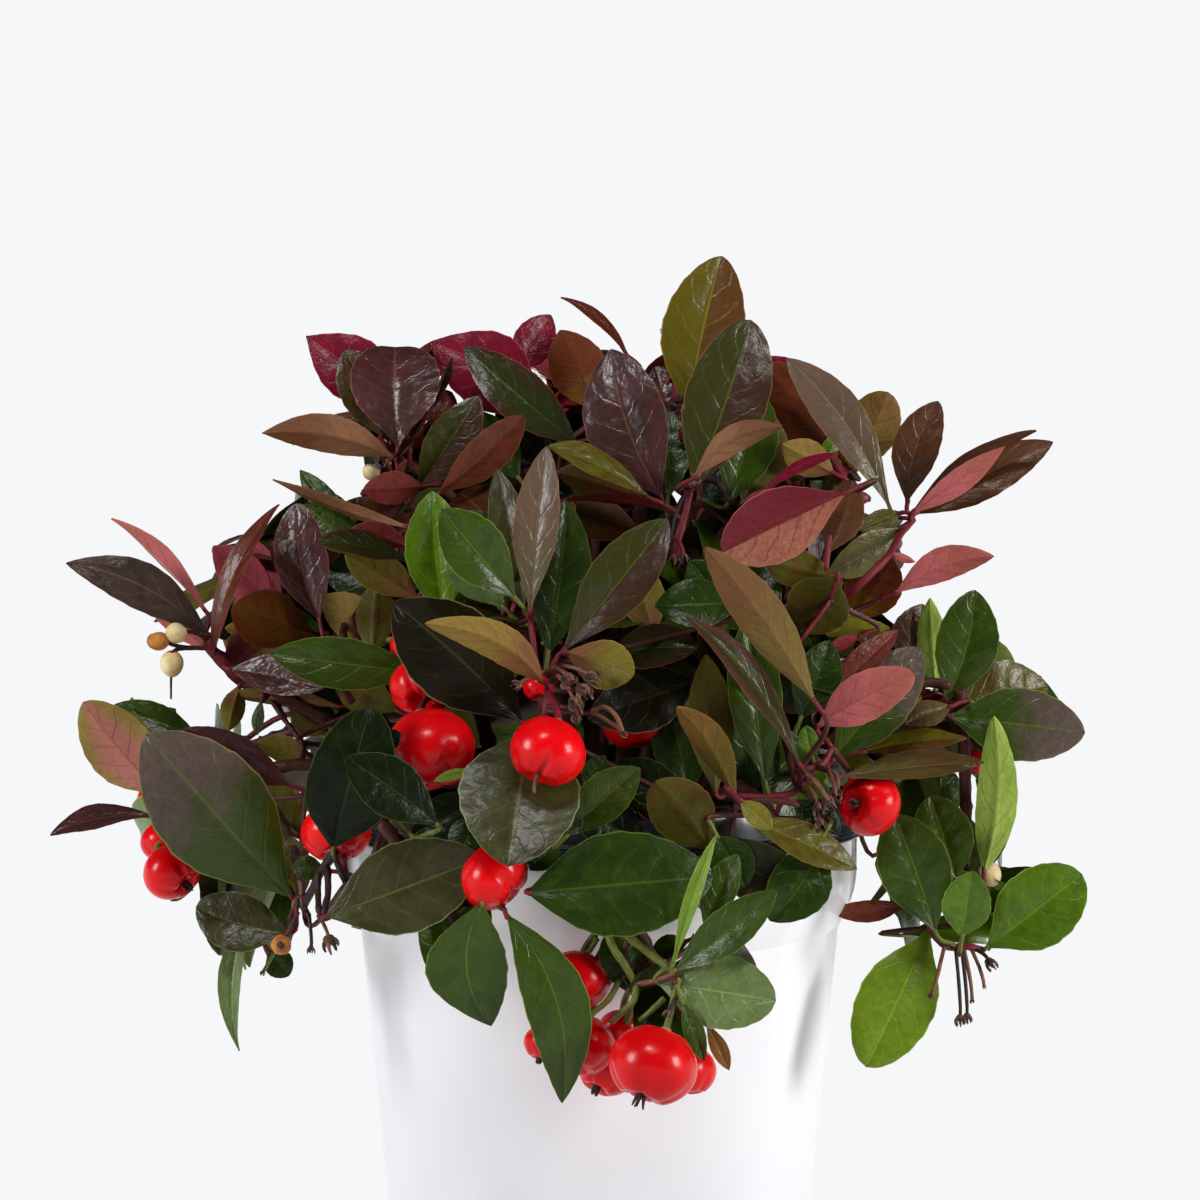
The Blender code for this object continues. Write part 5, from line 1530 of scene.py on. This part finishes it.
def nursery_pot():
    n = Nodes("nursery_pot_dark")
    co = n.node("ShaderNodeTexCoord").outputs["Object"]
    haze = n.noise(co, 90.0, 4.0, 0.6)
    colour = n.mix(n.ramp(haze, 0.35, 0.7), lin((34, 39, 47)), lin((24, 27, 33)))
    mat = n.finish(colour, 0.26, n.bump(n.noise(co, 500.0, 3.0, 0.6), 0.12, 0.0002), Specular_IOR_Level=0.6, Coat_Weight=0.3, Coat_Roughness=0.12)
    lip = []
    for k in range(4):               # four fine beads round the foot of the lip
        z = 98.5 + k * 0.85
        lip += [(53.15, z), (53.5, z + 0.22), (53.5, z + 0.45), (53.15, z + 0.65)]
    profile = [(0, 10.0), (34.5, 10.0), (45.3, 97.3), (46.3, 98.3), (52.9, 98.3)] + lip
    profile += [(53.2, 102.2), (53.45, 102.5), (53.5, 106.2), (53.3, 106.8), (52.8, 107.0), (52.3, 106.9), (52.1, 106.5),
                (51.9, 99.9), (44.7, 99.8), (44.2, 96.0), (33.4, 11.4), (0, 11.4)]
    ob = lathe("nursery_pot_with_lip", profile, 168, [mat], sharp=38)
    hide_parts("nursery_pot")


def peat():
    n = Nodes("peat_crumb")
    co = n.node("ShaderNodeTexCoord").outputs["Object"]
    grain = n.noise(co, 320.0, 5.0, 0.7)
    colour = n.mix(n.ramp(grain, 0.35, 0.62), lin((30, 20, 14)), lin((74, 52, 36)))
    fibre = n.noise(co, 900.0, 3.0, 0.7)
    colour = n.mix(n.math("MULTIPLY", n.ramp(fibre, 0.66, 0.74), 0.6), colour, lin((118, 92, 66)))
    mat = n.finish(colour, 0.92, n.bump(grain, 0.8, 0.0012), Specular_IOR_Level=0.2)
    slope = (45.3 - 34.5) / (98.0 - 0.7 - 10.0)
    inner = 34.5 - 1.1 - 0.7
    top = inner + slope * (GROUND - 11.7) - 0.3
    radii = list(np.linspace(top - 1.4, 0.0, 46))
    profile = [(0, 11.7), (inner, 11.7), (top, GROUND - 2.2), (top - 0.5, GROUND - 0.9)] + [(q, GROUND - 0.4) for q in radii]
    noise = np.random.default_rng(12)
    knobs = noise.uniform(-1, 1, (260, 2)) * 42
    sizes = noise.uniform(1.0, 2.6, 260)

    def lumps(r, z, turn):
        x, y = r * np.cos(turn), r * np.sin(turn)
        rise = np.zeros_like(x)
        for (kx, ky), s in zip(knobs, sizes):
            rise = np.maximum(rise, 0.42 * s * np.exp(-((x - kx) ** 2 + (y - ky) ** 2) / (0.6 * s * s)))
        surface = (z > GROUND - 0.6) & (r < top - 1.2)
        return r, np.where(surface, z + rise * np.clip((top - r) / 3.0, 0, 1) - 0.1, z)

    ob = lathe("peat_surface", profile, 150, [mat], lumps, sharp=None)
    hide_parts("root_ball")


white_pot()
nursery_pot()
peat()

# ---- make the pieces ---------------------------------------------------------------
leaf_mats = {}
for tint in TINT_LIST:
    for under in (0, 1):
        leaf_mats[TINT_LIST.index(tint) * 2 + under] = leaf_material(tint, bool(under))
bark_mats = {100 + k: bark_material(kind) for k, kind in enumerate(BARK_LIST)}
total = 0
for group, piece in pieces.items():
    ob = piece.make(leaf_mats)
    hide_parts(*GROUPS[group])
    total += len(ob.data.polygons) * 2
    print(group, len(ob.data.polygons) * 2)
ob = stems.make(bark_mats)
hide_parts(*[row[0] for row in STEMS], *[row[0] for row in ARMS], "root_crown")
total += len(ob.data.polygons) * 2
ob = twigs.make(bark_mats)
total += len(ob.data.polygons) * 2
print("twigs", len(ob.data.polygons) * 2)
ob = berries.make({0: berry_material()})
ob.data.uv_layers.remove(ob.data.uv_layers["OFBake"])
total += len(ob.data.polygons) * 2
trim_mats = {
    0: mottled("bud_cream", (226, 208, 160), (206, 178, 118), 300.0, 0.55),
    1: mottled("stalk_disc", (196, 132, 84), (150, 110, 60), 400.0, 0.55),
    2: mottled("dried_capsule", (112, 62, 40), (64, 38, 28), 420.0, 0.75, 0.7, 0.0006),
    3: mottled("withered_petal", (196, 128, 48), (150, 84, 36), 300.0, 0.7, 0.6, 0.0005),
    4: mottled("red_scale", (138, 34, 40), (100, 28, 34), 300.0, 0.5),
}
for k, kind in enumerate(BARK_LIST):
    base, second = BARKS[kind]
    trim_mats[100 + k] = mottled(f"scrap_{kind}", base, second, 420.0, 0.7, 0.5, 0.0004)
ob = trims.make(trim_mats)
ob.data.uv_layers.remove(ob.data.uv_layers["OFBake"])
total += len(ob.data.polygons) * 2
print("triangles in all about", total)

# ---- floor, light, camera ------------------------------------------------------------
def floor():
    """A pale floor: plain paint in front and round the pot, lit evenly from below behind it."""
    n = Nodes("studio_floor")
    co = n.node("ShaderNodeTexCoord").outputs["Object"]
    split = n.node("ShaderNodeSeparateXYZ")
    n.put(split.inputs[0], co)
    flat = n.node("ShaderNodeCombineXYZ")
    n.put(flat.inputs[0], split.outputs[0])
    n.put(flat.inputs[1], n.math("ADD", split.outputs[1], 0.21))
    size = n.node("ShaderNodeVectorMath", operation="LENGTH")
    n.put(size.inputs[0], flat.outputs[0])
    near = n.ramp(size.outputs["Value"], 0.32, 0.16)
    colour = n.mix(near, (0.0, 0.0, 0.0, 1.0), (0.45, 0.455, 0.46, 1.0))
    ahead = n.ramp(split.outputs[1], -1.5, -0.30)
    far = n.mix(ahead, (0.24, 0.242, 0.247, 1.0), (0.922, 0.930, 0.947, 1.0))
    n.put(n.shader.inputs["Emission Color"], n.mix(near, far, (0.26, 0.265, 0.27, 1.0)))
    n.shader.inputs["Emission Strength"].default_value = 1.0
    mat = n.finish(colour, 0.9, None, Specular_IOR_Level=0.0)
    radii = [0.0, 0.05, 0.1, 0.15, 0.2, 0.3, 0.45, 0.7, 1.0, 1.6, 2.6, 4.5, 8.0, 14.0]
    turn = np.linspace(0, 2 * np.pi, 96, endpoint=False)
    r = np.maximum(np.array(radii), 1e-5)[:, None]
    pts = np.stack(np.broadcast_arrays(r * np.cos(turn), r * np.sin(turn), 0 * r * turn), -1) / MM
    piece = Piece("studio_floor")
    piece.grid(pts, np.zeros((len(radii), 96, 2)), 0, close=True)
    ob = piece.make({0: mat})
    ob.parent = None
    del ob["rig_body"]


def lamp(name, where, aim, size, power, colour=(1, 1, 1)):
    data = bpy.data.lights.new(name, "AREA")
    data.shape = "RECTANGLE"
    data.size, data.size_y = size
    data.energy = power
    data.color = colour
    ob = bpy.data.objects.new(name, data)
    bpy.context.scene.collection.objects.link(ob)
    ob.location = where
    ob.rotation_euler = (Vector(aim) - Vector(where)).to_track_quat("-Z", "Y").to_euler()


floor()
lamp("softbox_right", (0.86, -0.46, 0.36), (0.0, 0.0, 0.10), (0.30, 0.36), 8.2, (1.0, 0.99, 0.975))
lamp("softbox_left", (-0.88, -0.44, 0.40), (0.0, 0.0, 0.10), (0.28, 0.34), 6.4, (0.985, 0.99, 1.0))
lamp("top_light", (-0.10, -0.55, 0.90), (0.0, 0.0, 0.12), (0.24, 0.12), 3.1)
lamp("back_light", (0.25, 0.95, 0.50), (0.0, 0.0, 0.12), (0.30, 0.30), 4.2)


def surroundings():
    """White round the horizon behind the plant, dim above it and in front."""
    world = bpy.data.worlds.new("studio")
    bpy.context.scene.world = world
    world.use_nodes = True
    tree = world.node_tree
    back = tree.nodes["Background"]
    co = tree.nodes.new("ShaderNodeTexCoord")
    split = tree.nodes.new("ShaderNodeSeparateXYZ")
    tree.links.new(co.outputs["Generated"], split.inputs[0])
    high = tree.nodes.new("ShaderNodeMapRange")
    high.interpolation_type = "SMOOTHSTEP"
    for k, x in enumerate((0.04, 0.12, 0.0, 1.0)):
        high.inputs[k + 1].default_value = x
    tree.links.new(split.outputs[2], high.inputs[0])
    ahead = tree.nodes.new("ShaderNodeMapRange")
    ahead.interpolation_type = "SMOOTHSTEP"
    for k, x in enumerate((-0.55, 0.0, 0.0, 1.0)):
        ahead.inputs[k + 1].default_value = x
    tree.links.new(split.outputs[1], ahead.inputs[0])
    low = tree.nodes.new("ShaderNodeMix")
    low.data_type = "RGBA"
    low.inputs[6].default_value = (0.24, 0.242, 0.247, 1.0)
    low.inputs[7].default_value = (0.922, 0.930, 0.947, 1.0)
    tree.links.new(ahead.outputs[0], low.inputs[0])
    sky = tree.nodes.new("ShaderNodeMix")
    sky.data_type = "RGBA"
    sky.inputs[7].default_value = (0.05, 0.051, 0.053, 1.0)
    tree.links.new(low.outputs[2], sky.inputs[6])
    tree.links.new(high.outputs[0], sky.inputs[0])
    tree.links.new(sky.outputs[2], back.inputs[0])
    back.inputs[1].default_value = 1.0


surroundings()
add_camera()
view = bpy.context.scene.view_settings
view.view_transform = "Standard"
view.look = "None"
view.exposure, view.gamma = 0.0, 1.0

bpy.context.view_layer.update()
